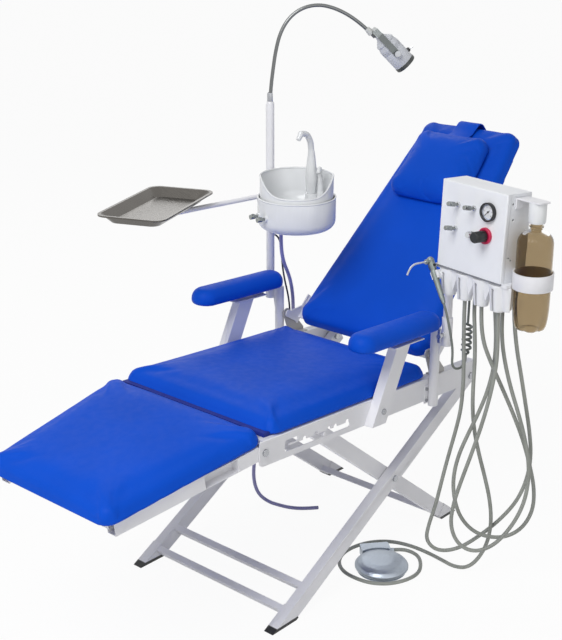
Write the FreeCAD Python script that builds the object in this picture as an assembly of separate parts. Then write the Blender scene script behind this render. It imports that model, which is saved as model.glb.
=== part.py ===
import FreeCAD, Part
import math
import os

from FreeCAD import Placement, Rotation
from FreeCAD import Vector as V

# Portable dental unit: folding chair, lamp and cuspidor pole, and a handpiece unit on its own pole.
# Millimetres. Working frame: x = 0 at the scissor bolt, +X to the head, +Y to the lamp side,
# y = 0 on the chair's centreline, z = 0 on the floor. ORIGIN moves it under the middle of the box.
ORIGIN = V(-120.7, -60.97, 0)

# ---- driving dimensions -------------------------------------------------------------------
FRAME_HALF = 245.0          # half of the chair frame's outer width
SHEET = 2.0                 # rail web and flange thickness
WALL = 1.5                  # tube wall
RAIL_LENGTH, RAIL_HEIGHT = 848.0, 60.0
RAIL_FLANGE, FLANGE_START = 25.0, 12.0
RAIL_TILT = 3.56            # degrees, head end lower
RAIL_FOOT = V(-511.8, 0, 448.3)
LEG_DEPTH, OUTER_LEG_T, INNER_LEG_T = 38.0, 25.0, 25.0
OUTER_LEG_FACE = FRAME_HALF - SHEET - 4.5
INNER_LEG_FACE = OUTER_LEG_FACE - OUTER_LEG_T - 2.0
SCISSOR_Z = 231.0
OUTER_ANGLE, INNER_ANGLE = 28.74, 38.15
PIN_HEIGHT = 20.5           # leg pivots above the rail's lower edge
PIVOT_SPAN = 303.0          # along the rail, from the scissor bolt's foot to either pivot
BAR = 16.0                  # lower cross tubes
BOLT_R, PIN_R, RUN_FIT = 5.0, 5.5, 0.06
CUSHION_T = 45.0
HINGE_HEIGHT = 32.0         # legrest pivot above the rail's lower edge
RECLINE_PIVOT = V(128, 0, 530)
BACK_ANGLE, BACK_LENGTH, BACK_T = 43.7, 709.6, 46.0
BACK_HALF_LOW, BACK_HALF_TOP = 220.0, 156.0
LEGREST_ANGLE, LEGREST_LENGTH = 8.0, 404.0
POLE_R, SLEEVE_R, SOCKET_R = 11.0, 13.5, 12.5
POLE_Y, SOCKET_Y = 291.0, 258.0
LAMP_POLE = V(120, POLE_Y, 571.3)
UNIT_POLE = V(125, -POLE_Y, 571.3)
LAMP_POLE_TOP, UNIT_POLE_TOP = 1104.0, 880.0
GAP = 0.3                   # between pieces that move past each other
PIVOT_R = 0.8               # pivot bore of a small lever

CASE_W, CASE_D, CASE_H = 205.0, 79.0, 205.0
UNIT = Placement(V(58, -297.7, 794.9), Rotation(V(0, 0, 1), -11.5) * Rotation(V(0, 1, 0), 2.5))
BOTTLE_R = 41.0
BOTTLE_AXIS = V(61.2, -556, 0)
CAP_TOP = 986.0
PEDAL = V(-61, -250, 0)
PEDAL_YAW = 50.0
PEDAL_R = 68.0
CUSPIDOR = V(92, 173, 0)
CUSPIDOR_R = 103.0
TRAY = V(-246, 342, 872)
TRAY_YAW = 202.0

Y, Z = V(0, 1, 0), V(0, 0, 1)
SIDES = (-1, 1)
RAIL = Placement(RAIL_FOOT, Rotation(Y, RAIL_TILT))


# ---- small tools --------------------------------------------------------------------------
def box(x0, x1, y0, y1, z0, z1):
    return Part.makeBox(x1 - x0, y1 - y0, z1 - z0, V(x0, y0, z0))


def rod(p, q, r, r2=None):
    d = q - p
    if r2 is None or r2 == r:
        return Part.makeCylinder(r, d.Length, p, d)
    return Part.makeCone(r, r2, d.Length, p, d)


def pipe(p, q, r, wall):
    return rod(p, q, r).cut(rod(p, q, r - wall))


def across(x, z, r, y0, y1):
    return rod(V(x, y0, z), V(x, y1, z), r)


def fuse(shapes):
    return shapes[0].multiFuse(shapes[1:]).removeSplitter() if len(shapes) > 1 else shapes[0]


def group(shapes):
    return Part.makeCompound(shapes)


def placed(shape, placement):
    moved = shape.copy()
    moved.Placement = placement.multiply(moved.Placement)
    return moved


def mirrored(shape):
    return shape.mirror(V(0, 0, 0), Y)


def edges_along(shape, direction, test=lambda e: True):
    d = V(direction).normalize()
    return [e for e in shape.Edges if isinstance(e.Curve, Part.Line)
            and abs(abs(e.tangentAt(e.FirstParameter).dot(d)) - 1) < 1e-6 and test(e)]


def polygon(points, vector):
    """Prism of a closed outline along a vector."""
    return Part.Face(Part.makePolygon(points + [points[0]])).extrude(vector)


def square_tube(start, angle, s0, s1, depth, y0, y1, wall=WALL):
    """Rectangular tube in an x-z plane: from s0 to s1 along the angle, between two y faces."""
    place = Placement(start, Rotation(Y, -angle))
    outer = box(s0, s1, y0, y1, -depth / 2, depth / 2)
    inner = box(s0 - 1, s1 + 1, y0 + wall, y1 - wall, -depth / 2 + wall, depth / 2 - wall)
    return placed(outer.cut(inner), place)


def route_path(points, radius_share=0.45):
    """Wire of straight runs joined by tangent arcs, with the smallest arc radius."""
    edges, radii, here = [], [], points[0]
    for a, b, c in zip(points, points[1:], points[2:]):
        u, v = (b - a), (c - b)
        run = min(u.Length, v.Length)
        u.normalize()
        v.normalize()
        half = u.getAngle(v) / 2
        back = radius_share * run
        start, end = b - u * back, b + v * back
        radius = back / math.tan(half)
        radii.append(radius)
        middle_dir = (v - u).normalize()
        middle = b + middle_dir * (radius / math.cos(half) - radius)
        edges.append(Part.LineSegment(here, start).toShape())
        edges.append(Part.Arc(start, middle, end).toShape())
        here = end
    edges.append(Part.LineSegment(here, points[-1]).toShape())
    return Part.Wire(edges), min(radii)


def swept(points, r, name=""):
    """Round solid along a route; prints its length, tightest radius and volume error."""
    wire, radius = route_path(points)
    start = wire.Edges[0]
    ring = Part.Wire([Part.makeCircle(r, points[0], start.tangentAt(start.FirstParameter))])
    solid = wire.makePipeShell([ring], True, False)
    if name:
        ideal = math.pi * r * r * wire.Length
        print(f"{name}: length {wire.Length:.0f}, least radius {radius:.1f}, "
              f"volume error {100 * (solid.Volume / ideal - 1):.2f} %")
    return solid


def rounded_slab(outline, z0, z1, corner, edge):
    """Cushion form: outline corners rounded in plan, rims rounded by edge."""
    slab = polygon([V(x, y, z0) for x, y in outline], V(0, 0, z1 - z0))
    slab = slab.makeFillet(corner, edges_along(slab, Z))
    rims = [e for e in slab.Edges if abs(e.BoundBox.ZLength) < 1e-6]
    return slab.makeFillet(edge, rims)


# ---- chair: rails, seat, sockets ------------------------------------------------------------
def pivot_points():
    """Rail pivot P (head end) and slot pin S (foot end), both PIN_HEIGHT above the rail's edge."""
    along = RAIL.Rotation.multVec(V(1, 0, 0))
    up = RAIL.Rotation.multVec(Z)
    centre = V(0, 0, SCISSOR_Z)
    foot = centre + up * ((RAIL_FOOT - centre).dot(up) + PIN_HEIGHT)
    return foot + along * PIVOT_SPAN, foot - along * PIVOT_SPAN


RAIL_PIVOT, SLOT_PIN = pivot_points()
RAIL_PIVOT_U = RAIL.inverse().multVec(RAIL_PIVOT).x
SLOT_FROM, SLOT_TO = 90.0, 315.0
SLOT_LOW, SLOT_HIGH = 14.0, 27.0
NOTCH_TOP, NOTCH_W = 35.0, 13.0
NOTCHES = (151.0, 191.0, 237.0, 261.0, 304.8)
HOOK_LOW, HOOK_HIGH, HOOK_TO = 31.0, 42.0, 126.0
LEGREST_PIVOT_U = 18.0


def oblong(u0, u1, z0, z1, y0, y1):
    """Slot cutter with round ends."""
    r = (z1 - z0) / 2
    return fuse([box(u0 + r, u1 - r, y0, y1, z0, z1),
                 across(u0 + r, z0 + r, r, y0, y1), across(u1 - r, z0 + r, r, y0, y1)])


def rail():
    """Lamp-side rail in its own frame: folded channel with the height slot and its notches."""
    y1, y0, yf = FRAME_HALF, FRAME_HALF - SHEET, FRAME_HALF - RAIL_FLANGE
    web = box(0, RAIL_LENGTH, y0, y1, 0, RAIL_HEIGHT)
    web = web.makeFillet(14, edges_along(web, Y, lambda e: e.CenterOfMass.z < 1))
    flange = box(FLANGE_START, RAIL_LENGTH, yf, y1, RAIL_HEIGHT - SHEET, RAIL_HEIGHT)
    body = fuse([web, flange])
    bend = edges_along(body, V(1, 0, 0), lambda e: e.CenterOfMass.y > y1 - 0.1
                       and e.CenterOfMass.z > RAIL_HEIGHT - 0.1)
    body = body.makeFillet(1.8, bend)
    cuts = [oblong(SLOT_FROM - NOTCH_W / 2, SLOT_TO, SLOT_LOW, SLOT_HIGH, y0 - 1, y1 + 1)]
    for u in NOTCHES:
        cuts.append(oblong_up(u, y0 - 1, y1 + 1))
    cuts.append(oblong(SLOT_FROM - NOTCH_W / 2, HOOK_TO, HOOK_LOW, HOOK_HIGH, y0 - 1, y1 + 1))
    cuts.append(box(SLOT_FROM - NOTCH_W / 2, SLOT_FROM + NOTCH_W / 2, y0 - 1, y1 + 1,
                    (SLOT_LOW + SLOT_HIGH) / 2, (HOOK_LOW + HOOK_HIGH) / 2))
    cuts.append(across(RAIL_PIVOT_U, PIN_HEIGHT, BOLT_R + RUN_FIT, y0 - 1, y1 + 1))
    cuts.append(across(LEGREST_PIVOT_U, HINGE_HEIGHT, BOLT_R, y0 - 1, y1 + 1))
    return body.cut(fuse(cuts))


def oblong_up(u, y0, y1):
    """One notch: a slot that rises from the band to NOTCH_TOP with a round top."""
    r = NOTCH_W / 2
    return fuse([box(u - r, u + r, y0, y1, SLOT_LOW + r, NOTCH_TOP - r),
                 across(u, NOTCH_TOP - r, r, y0, y1)])


SEAT_U0, SEAT_U1 = 13.0, 630.0
BOARD_INSET, BOARD_T = 14.0, 10.0


def seat_board():
    h0 = RAIL_HEIGHT
    return box(SEAT_U0 + BOARD_INSET, SEAT_U1 - BOARD_INSET, -FRAME_HALF + BOARD_INSET,
               FRAME_HALF - BOARD_INSET, h0, h0 + BOARD_T)


def seat_crossbars():
    """The two cross tubes that tie the rails, with their cleats up to the board."""
    y = FRAME_HALF - SHEET
    top = RAIL_HEIGHT - SHEET
    tubes = [box(u, u + 20, -y, y, top - 20, top).cut(
        box(u + WALL, u + 20 - WALL, -y - 1, y + 1, top - 20 + WALL, top - WALL))
        for u in (46, 606)]
    cleats = [box(u - 2, u + 22, s * 205 - 12, s * 205 + 12, top, RAIL_HEIGHT)
              for u in (46, 606) for s in SIDES]
    return placed(group([fuse([t] + cleats[i * 2:i * 2 + 2]) for i, t in enumerate(tubes)]), RAIL)


def seat_cushion():
    half = FRAME_HALF
    slab = rounded_slab([(SEAT_U0, -half), (SEAT_U1, -half), (SEAT_U1, half), (SEAT_U0, half)],
                        RAIL_HEIGHT, RAIL_HEIGHT + CUSHION_T, 22, 12)
    return placed(slab.cut(seat_board()), RAIL)


ARM_FOOT, ARM_TOP = V(-114.5, 0, 424), V(-24, 0, 605)
ARM_DEPTH, ARM_T = 49.0, 25.0


def arm_post():
    """Leaning rectangular tube, cut off along the rail's lower edge and under the pad."""
    d = ARM_TOP - ARM_FOOT
    angle = math.degrees(math.atan2(d.z, d.x))
    tube = square_tube(ARM_FOOT, angle, -40, d.Length + 40, ARM_DEPTH, FRAME_HALF,
                       FRAME_HALF + ARM_T, 2.0)
    keep = polygon([V(-400, 0, 441.7), V(300, 0, 397.9), V(300, 0, 592), V(-400, 0, 628)],
                   V(0, 400, 0))
    cap = polygon([V(-75, 0, 609), V(45, 0, 603), V(45, 0, 606), V(-75, 0, 612)], V(0, 46, 0))
    cap.translate(V(0, FRAME_HALF - 10, 0))
    post = tube.common(keep)
    return fuse([post, cap])


def arm_pad():
    """Stadium-shaped pad with rolled rims."""
    length, width, thick = 320.0, 76.0, 46.0
    r = width / 2
    plan = fuse([box(r, length - r, -r, r, 0, thick),
                 Part.makeCylinder(r, thick, V(r, 0, 0)),
                 Part.makeCylinder(r, thick, V(length - r, 0, 0))])
    rims = [e for e in plan.Edges if abs(e.BoundBox.ZLength) < 1e-6]
    pad = plan.makeFillet(17, rims)
    return placed(pad, Placement(V(-204, 257.5, 629), Rotation(Y, 2.98)))


def post_socket(side, pole):
    """Upright tube bolted to the rail, with the pole's sleeve held outboard of it."""
    x, y = pole.x, SOCKET_Y
    tube = pipe(V(x, y, 398), V(x, y, 604), SOCKET_R, 2.0)
    plug = rod(V(x, y, 600), V(x, y, 606), SOCKET_R - 2.0)
    flange = box(x - 22, x + 22, FRAME_HALF, FRAME_HALF + 3, 404, 452)
    web = box(x - 3, x + 3, y + SOCKET_R - 1, POLE_Y - SLEEVE_R + 1, 578, 604)
    rib = polygon([V(x - 3, y + 10, 540), V(x - 3, y + 14, 540), V(x - 3, POLE_Y - 12, 578),
                   V(x - 3, y + 10, 578)], V(6, 0, 0))
    sleeve = rod(V(x, POLE_Y, 568), V(x, POLE_Y, 640), SLEEVE_R)
    bore = rod(V(x, POLE_Y, 571), V(x, POLE_Y, 641), POLE_R + RUN_FIT)
    boss = rod(V(x - SLEEVE_R - 5, POLE_Y, 600), V(x, POLE_Y, 600), 6)
    hole = rod(V(x - 40, POLE_Y, 600), V(x, POLE_Y, 600), 3)
    body = fuse([tube, plug, flange, web, rib, sleeve, boss])
    body = body.cut(fuse([bore, hole]))
    return mirrored(body) if side < 0 else body


def post_sockets():
    return group([post_socket(1, LAMP_POLE), post_socket(-1, V(UNIT_POLE.x, POLE_Y, 0))])


def wing_screw(x, y):
    """Clamp screw of a sleeve: it stops just short of the pole."""
    stem = rod(V(x - 34, y, 600), V(x - POLE_R - GAP, y, 600), 3)
    hub = rod(V(x - 36, y, 600), V(x - 24, y, 600), 6)
    wings = [box(x - 35, x - 32, y - 3.5, y + 3.5, 600, 600 + 17),
             box(x - 35, x - 32, y - 3.5, y + 3.5, 600 - 17, 600)]
    return fuse([stem, hub] + wings)


def hex_head(x, z, y0, y1, across_flats):
    """Hexagon head on an axis along Y."""
    r = across_flats / math.sqrt(3)
    pts = [V(x + r * math.cos(a), y0, z + r * math.sin(a))
           for a in (math.radians(60 * k) for k in range(6))]
    return polygon(pts, V(0, y1 - y0, 0))


def chair_fasteners():
    """Arm-post bolts, socket flange screws and the two sleeve clamp screws."""
    parts = []
    y = FRAME_HALF
    for s in SIDES:
        bolt = [hex_head(-100, 456, y + ARM_T, y + ARM_T + 5, 13)]
        x = (UNIT_POLE.x if s < 0 else LAMP_POLE.x)
        bolt += [across(x - 16, z, 4.5, y + 3, y + 6) for z in (413, 443)]
        bolt += [across(x + 16, z, 4.5, y + 3, y + 6) for z in (413, 443)]
        parts += [mirrored(b) for b in bolt] if s < 0 else bolt
        parts.append(wing_screw(x, s * POLE_Y))
    return group(parts)


def recliner_plate():
    """Fixed half of a recliner hinge: foot on the rail flange, ear round the pivot."""
    h = RECLINE_PIVOT
    foot = [V(138, 236, 468.2), V(196, 236, 464.6), V(196, 236, 474), V(150, 236, 528),
            V(128, 236, 544), V(120, 236, 540), V(116, 236, 524)]
    ear = rod(V(h.x, 236, h.z), V(h.x, 240, h.z), 14)
    plate = fuse([polygon(foot, V(0, 4, 0)), ear])
    tab = placed(box(652, 706, 221, 240, RAIL_HEIGHT, RAIL_HEIGHT + 3), RAIL)
    barrel = rod(V(h.x, 240, h.z), V(h.x, 245, h.z), 9)
    hole = rod(V(h.x, 225, h.z), V(h.x, 241, h.z), 5 + RUN_FIT)
    return fuse([plate, tab, barrel]).cut(hole)


def both(shape):
    return group([shape, mirrored(shape)])


# ---- folding legs --------------------------------------------------------------------------
SCISSOR = V(0, 0, SCISSOR_Z)
OUTER_FOOT = V(-SCISSOR_Z / math.tan(math.radians(OUTER_ANGLE)), 0, 0)
INNER_FOOT = V(SCISSOR_Z / math.tan(math.radians(INNER_ANGLE)), 0, 0)
CAP_T, CAP_LENGTH = 1.5, 46.0
LOW_BAR, HIGH_BAR, INNER_BAR = 42.0, 115.0, 76.0    # upper edge of each cross tube along its leg


def leg_tube(foot, angle, length, face, thick):
    """One leg: floor-cut tube on the +Y side, with the pivot holes made by the caller."""
    tube = square_tube(foot, angle, -60, length, LEG_DEPTH, face - thick, face)
    return tube.common(box(-700, 700, 0, 400, 6, 900))


def foot_cap(foot, angle, face, thick, notched=False):
    """Rubber shoe: a sleeve with a thick sole cut level on the floor."""
    place = Placement(foot, Rotation(Y, -angle))
    half = LEG_DEPTH / 2 + CAP_T
    block = placed(box(-90, CAP_LENGTH, face - thick - CAP_T, face + CAP_T, -half, half), place)
    block = block.common(box(-700, 700, 0, 400, 0, 900))
    core = placed(box(-90, 900, face - thick, face, -LEG_DEPTH / 2, LEG_DEPTH / 2), place)
    notch = placed(box(LOW_BAR - BAR, LOW_BAR, 0, face - thick, LEG_DEPTH / 2 - BAR, LEG_DEPTH / 2), place)
    block = block.cut(core.common(box(-700, 700, 0, 400, 6, 900)))
    return block.cut(notch) if notched else block


def cross_bar(foot, angle, s_top, half_width, upper):
    """Cross tube between the legs, flush with their upper (foot-side) face."""
    place = Placement(foot, Rotation(Y, -angle))
    n1 = LEG_DEPTH / 2 if upper else -LEG_DEPTH / 2 + BAR
    bar = box(s_top - BAR, s_top, -half_width, half_width, n1 - BAR, n1)
    core = box(s_top - BAR + WALL, s_top - WALL, -half_width - 1, half_width + 1,
               n1 - BAR + WALL, n1 - WALL)
    return placed(bar.cut(core), place)


def outer_leg_frame():
    length = (RAIL_PIVOT - OUTER_FOOT).Length + 22
    leg = leg_tube(OUTER_FOOT, OUTER_ANGLE, length, OUTER_LEG_FACE, OUTER_LEG_T)
    inner = OUTER_LEG_FACE - OUTER_LEG_T
    holes = fuse([across(p.x, p.z, BOLT_R, inner - 1, OUTER_LEG_FACE + 1)
                  for p in (RAIL_PIVOT, SCISSOR)])
    leg = leg.cut(holes)
    bars = [cross_bar(OUTER_FOOT, OUTER_ANGLE, s, inner, True) for s in (LOW_BAR, HIGH_BAR)]
    return fuse([leg, mirrored(leg)] + bars)


def inner_leg_frame():
    """Inner frame with its slot pins welded through the tubes' upper ends."""
    length = (SLOT_PIN - INNER_FOOT).Length + 22
    leg = leg_tube(INNER_FOOT, 180 - INNER_ANGLE, length, INNER_LEG_FACE, INNER_LEG_T)
    inner = INNER_LEG_FACE - INNER_LEG_T
    leg = leg.cut(across(0, SCISSOR_Z, BOLT_R + RUN_FIT, inner - 1, INNER_LEG_FACE + 1))
    pin = across(SLOT_PIN.x, SLOT_PIN.z, PIN_R, inner - 4, FRAME_HALF + 2)
    leg = fuse([leg, pin])
    bar = cross_bar(INNER_FOOT, 180 - INNER_ANGLE, INNER_BAR, inner, True)
    return fuse([leg, mirrored(leg), bar])


def frame_bolts():
    """Rail pivot bolts and scissor bolts, each with its washer and nut."""
    bolts = []
    inner = OUTER_LEG_FACE - OUTER_LEG_T
    p = RAIL_PIVOT
    shank = across(p.x, p.z, BOLT_R, inner - 7, FRAME_HALF + GAP)
    spacer = across(p.x, p.z, 9, OUTER_LEG_FACE, FRAME_HALF - SHEET - GAP)
    head = across(p.x, p.z, 9, FRAME_HALF + GAP, FRAME_HALF + 4.5)
    bolts.append(fuse([shank, spacer, head, hex_head(p.x, p.z, inner - 7, inner, 15)]))
    low = INNER_LEG_FACE - INNER_LEG_T
    shank = across(0, SCISSOR_Z, BOLT_R, low - 8, OUTER_LEG_FACE)
    head = across(0, SCISSOR_Z, 8.5, OUTER_LEG_FACE, OUTER_LEG_FACE + 4)
    washer = across(0, SCISSOR_Z, 10, INNER_LEG_FACE + GAP, inner)
    nut = hex_head(0, SCISSOR_Z, low - 8, low - GAP, 15)
    bolts.append(fuse([shank, head, washer, nut]))
    return group([b for bolt in bolts for b in (bolt, mirrored(bolt))])


# ---- legrest -------------------------------------------------------------------------------
LEGREST = Placement(V(-508, 0, 497), Rotation(Y, -LEGREST_ANGLE))
LEGREST_PIVOT = RAIL.multVec(V(LEGREST_PIVOT_U, 0, HINGE_HEIGHT))
LEGREST_HALF, LEGREST_TOE_HALF = 245.0, 202.0
TUBE_DEPTH = 34.0


def legrest_cushion():
    slab = rounded_slab([(0, -LEGREST_HALF), (0, LEGREST_HALF), (-LEGREST_LENGTH, LEGREST_TOE_HALF),
                         (-LEGREST_LENGTH, -LEGREST_TOE_HALF)], GAP, CUSHION_T, 24, 12)
    return placed(slab, LEGREST)


def legrest_frame():
    """Two converging side tubes, a toe tube and a middle tube, with the hinge eyes."""
    y0, y1 = FRAME_HALF - SHEET - GAP, FRAME_HALF - SHEET - GAP - 25
    toe = -LEGREST_LENGTH + 30
    toe_y = LEGREST_TOE_HALF - 14
    side = polygon([V(-2, y1, -TUBE_DEPTH), V(-2, y0, -TUBE_DEPTH), V(toe, toe_y, -TUBE_DEPTH),
                    V(toe, toe_y - 25, -TUBE_DEPTH)], V(0, 0, TUBE_DEPTH))
    core = polygon([V(-60, y1 - 6.5 + WALL, -TUBE_DEPTH + WALL), V(-60, y0 - 6.5 - WALL, -TUBE_DEPTH + WALL),
                    V(toe - 1, toe_y - WALL, -TUBE_DEPTH + WALL),
                    V(toe - 1, toe_y - 25 + WALL, -TUBE_DEPTH + WALL)], V(0, 0, TUBE_DEPTH - 2 * WALL))
    pivot = LEGREST.inverse().multVec(LEGREST_PIVOT)
    ear = fuse([across(pivot.x, pivot.z, 15, y1, y0), box(-4, pivot.x, y1, y0, pivot.z - 15, pivot.z + 12)])
    hole = across(pivot.x, pivot.z, BOLT_R + RUN_FIT, y1 - 1, y0 + 1)
    side = fuse([side.cut(core), ear]).cut(hole)
    bars = []
    for x, half in ((toe + 12, toe_y - 20), (toe / 2, (toe_y + y1) / 2 - 12)):
        bars.append(box(x - 12, x + 12, -half, half, -24, 0).cut(
            box(x - 12 + WALL, x + 12 - WALL, -half - 1, half + 1, -24 + WALL, -WALL)))
    return placed(fuse([side, mirrored(side)] + bars), LEGREST)


def legrest_bolt():
    p = LEGREST_PIVOT
    y1 = FRAME_HALF - SHEET - GAP - 25
    shank = across(p.x, p.z, BOLT_R, y1 - 6, FRAME_HALF)
    head = across(p.x, p.z, 8.5, FRAME_HALF, FRAME_HALF + 4)
    return fuse([shank, head, hex_head(p.x, p.z, y1 - 6, y1 - GAP, 15)])


# ---- backrest ------------------------------------------------------------------------------
BACK = Placement(RECLINE_PIVOT, Rotation(Y, -BACK_ANGLE))
BACK_A0 = -4.5
BACK_FACE = 4.8
BACK_REAR = BACK_FACE - BACK_T


def backrest_cushion():
    a1 = BACK_A0 + BACK_LENGTH
    slab = rounded_slab([(BACK_A0, -BACK_HALF_LOW), (a1, -BACK_HALF_TOP), (a1, BACK_HALF_TOP),
                         (BACK_A0, BACK_HALF_LOW)], BACK_REAR, BACK_FACE, 38, 14)
    return placed(slab, BACK)


def backrest_frame():
    """Two uprights and three cross tubes behind the cushion, with the moving recliner ears."""
    n1 = BACK_REAR
    side = polygon([V(12, 168, n1 - 25), V(12, 193, n1 - 25), V(640, 138, n1 - 25),
                    V(640, 113, n1 - 25)], V(0, 0, 25))
    core = polygon([V(13, 168 + WALL, n1 - 25 + WALL), V(13, 193 - WALL, n1 - 25 + WALL),
                    V(639, 138 - WALL, n1 - 25 + WALL), V(639, 113 + WALL, n1 - 25 + WALL)],
                   V(0, 0, 25 - 2 * WALL))
    tubes = [side.cut(core)]
    ear = fuse([across(0, 0, 10, 231, 235), box(0, 86, 231, 235, -52, -34),
                polygon([V(-9, 231, -4), V(10, 231, -2), V(52, 231, -36), V(0, 231, -38)], V(0, 4, 0))])
    bridge = box(14, 84, 186, 233, n1 - 3, n1)
    stub = across(0, 0, 5, 231, 239.7)
    tubes.append(fuse([ear, bridge, stub]))
    half = fuse(tubes)
    bars = []
    for a, w in ((14, 170), (330, 142), (610, 118)):
        bars.append(box(a, a + 22, -w, w, n1 - 24, n1).cut(
            box(a + WALL, a + 22 - WALL, -w - 1, w + 1, n1 - 24 + WALL, n1 - WALL)))
    return placed(fuse([half, mirrored(half)] + bars), BACK)


PILLOW_A0, PILLOW_A1, PILLOW_HALF, PILLOW_T = 420.0, 640.0, 122.0, 66.0
STRAP_HALF = 33.0


def pillow():
    """Headrest pillow and the flap that hooks it over the backrest's top edge."""
    n0 = BACK_FACE + GAP
    slab = rounded_slab([(PILLOW_A0, -PILLOW_HALF), (PILLOW_A1, -PILLOW_HALF),
                         (PILLOW_A1, PILLOW_HALF), (PILLOW_A0, PILLOW_HALF)],
                        n0, n0 + PILLOW_T, 34, 26)
    a1 = BACK_A0 + BACK_LENGTH + 4
    half = STRAP_HALF
    flap = box(PILLOW_A1 - 40, a1, -half, half, n0, n0 + 3)
    flap = fuse([flap, box(a1 - 3, a1, -half, half, BACK_REAR - GAP - 3, n0 + 3),
                 box(a1 - 68, a1, -half, half, BACK_REAR - GAP - 3, BACK_REAR - GAP)])
    return placed(fuse([slab, flap]), BACK)


# ---- lamp side -----------------------------------------------------------------------------
GOOSE_DIR = V(0.756, -0.655, 0)
GOOSE_R = 5.0
GOOSE = ((0, 1104), (2, 1142), (8, 1190), (15, 1238), (27, 1284), (50, 1322), (84, 1346),
         (126, 1354), (170, 1344), (213, 1322), (252, 1292), (276, 1269))
LAMP_R, LAMP_LENGTH = 28.5, 84.0
LAMP_BACK = (301.0, 1258.0)
LAMP_AXIS = (0.704, -0.710)


def goose_point(r, z):
    return V(LAMP_POLE.x, POLE_Y, 0) + GOOSE_DIR * r + V(0, 0, z)


def lamp_frame():
    """Lamp frame: X along the beam, Y the tilt axis, origin at the body's back centre."""
    x = (GOOSE_DIR * LAMP_AXIS[0] + V(0, 0, LAMP_AXIS[1])).normalize()
    y = Z.cross(GOOSE_DIR).normalize()
    return Placement(goose_point(*LAMP_BACK), Rotation(x, y, x.cross(y), "XYZ"))


LAMP = lamp_frame()
LAMP_TILT_X = 40.0


def lamp_pole():
    x, y = LAMP_POLE.x, POLE_Y
    pole = pipe(LAMP_POLE, V(x, y, LAMP_POLE_TOP), POLE_R, WALL)
    neck = rod(V(x, y, LAMP_POLE_TOP - 4), V(x, y, LAMP_POLE_TOP + 4), POLE_R, GOOSE_R + 3)
    neck = neck.cut(rod(V(x, y, LAMP_POLE_TOP - GAP), V(x, y, LAMP_POLE_TOP + 9), GOOSE_R + 3))
    inward = (V(*CABLE[0]) - V(*CABLE[1])).normalize()
    gland_end = V(*CABLE[0]) + inward * GLAND_GAP
    gland = rod(gland_end, gland_end + inward * 7, CABLE_R + 1.5)
    gland = gland.cut(rod(LAMP_POLE, V(x, y, LAMP_POLE_TOP), POLE_R - WALL))
    top_off = rod(V(x, y, LAMP_POLE_TOP - GAP), V(x, y, LAMP_POLE_TOP + 9), POLE_R + 9)
    return fuse([pole.cut(top_off), neck, gland])


def gooseneck():
    """Flexible arm with its end ferrules and the fork that carries the lamp."""
    points = [goose_point(r, z) for r, z in GOOSE]
    arm = swept(points, GOOSE_R)
    ferrule = rod(points[0], points[0] + V(0, 0, 26), 7.5)
    tilt = V(LAMP_TILT_X, 0, 0)
    end = LAMP.inverse().multVec(points[-1])
    hub = rod(V(-22, -8, 0), V(-22, 8, 0), 8)
    fork = [box(-26, -22, -LAMP_R - 5, LAMP_R + 5, -8, 8)]
    for s in SIDES:
        y0, y1 = sorted((s * (LAMP_R + 2), s * (LAMP_R + 5)))
        fork.append(box(-26, LAMP_TILT_X, y0, y1, -8, 8))
        fork.append(across(tilt.x, 0, 8, y0, y1))
        k0, k1 = sorted((s * (LAMP_R + 5), s * (LAMP_R + 15)))
        fork.append(across(tilt.x, 0, 7, k0, k1))
    link = rod(end, V(-22, 0, 0), 6)
    yoke = fuse(fork + [hub, link])
    hole = across(tilt.x, 0, 3 + RUN_FIT, -LAMP_R - 12, LAMP_R + 12)
    return fuse([arm, ferrule, placed(yoke.cut(hole), LAMP)])


def lamp_body():
    """Cylindrical housing with a stepped back, open front cup and trunnion pins."""
    profile = [V(0, 0, 0), V(0, 0, 20), V(3, 0, 24), V(14, 0, LAMP_R - 1), V(18, 0, LAMP_R),
               V(LAMP_LENGTH, 0, LAMP_R), V(LAMP_LENGTH, 0, LAMP_R - 3.5),
               V(20, 0, LAMP_R - 3.5), V(16, 0, LAMP_R - 5), V(6, 0, 20), V(6, 0, 0)]
    turned = Part.Face(Part.makePolygon(profile + [profile[0]])).revolve(V(0, 0, 0), V(1, 0, 0), 360)
    pins = [across(LAMP_TILT_X, 0, 3, *sorted((s * (LAMP_R - 3), s * (LAMP_R + 11)))) for s in SIDES]
    grooves = fuse([rod(V(x, 0, 0), V(x + 1.6, 0, 0), LAMP_R + 2).cut(
        rod(V(x, 0, 0), V(x + 1.6, 0, 0), LAMP_R - 1)) for x in (22, 26, 30)])
    seat = rod(V(LAMP_SWITCH_X, 0, LAMP_R - 6), V(LAMP_SWITCH_X, 0, LAMP_R + 4), 5)
    body = fuse([turned.cut(grooves), seat] + pins)
    socket = rod(V(LAMP_SWITCH_X, 0, LAMP_R), V(LAMP_SWITCH_X, 0, LAMP_R + 5), 3.4)
    return placed(body.cut(socket), LAMP)


LAMP_SWITCH_X = 62.0


def lamp_lens():
    x = LAMP_LENGTH
    disc = rod(V(x - 6, 0, 0), V(x - 3, 0, 0), LAMP_R - 3.5)
    return placed(disc, LAMP)


def lamp_switch():
    p = V(LAMP_SWITCH_X, 0, LAMP_R + 3)
    stick = rod(p, p + V(2.5, 0, 13), 1.4, 2.2)
    ball = Part.makeSphere(2.9, p)
    bore = rod(p - V(0, 5, 0), p + V(0, 5, 0), PIVOT_R)
    return placed(fuse([stick, ball]).cut(bore), LAMP)


# ---- tray ----------------------------------------------------------------------------------
TRAY_ARM_Z = 858.0
TRAY_ARM_R = 6.5
TRAY_LENGTH, TRAY_WIDTH, TRAY_DEPTH, TRAY_SHEET = 335.0, 182.0, 22.0, 1.2
TRAY_FRAME = Placement(TRAY, Rotation(Z, TRAY_YAW))


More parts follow.
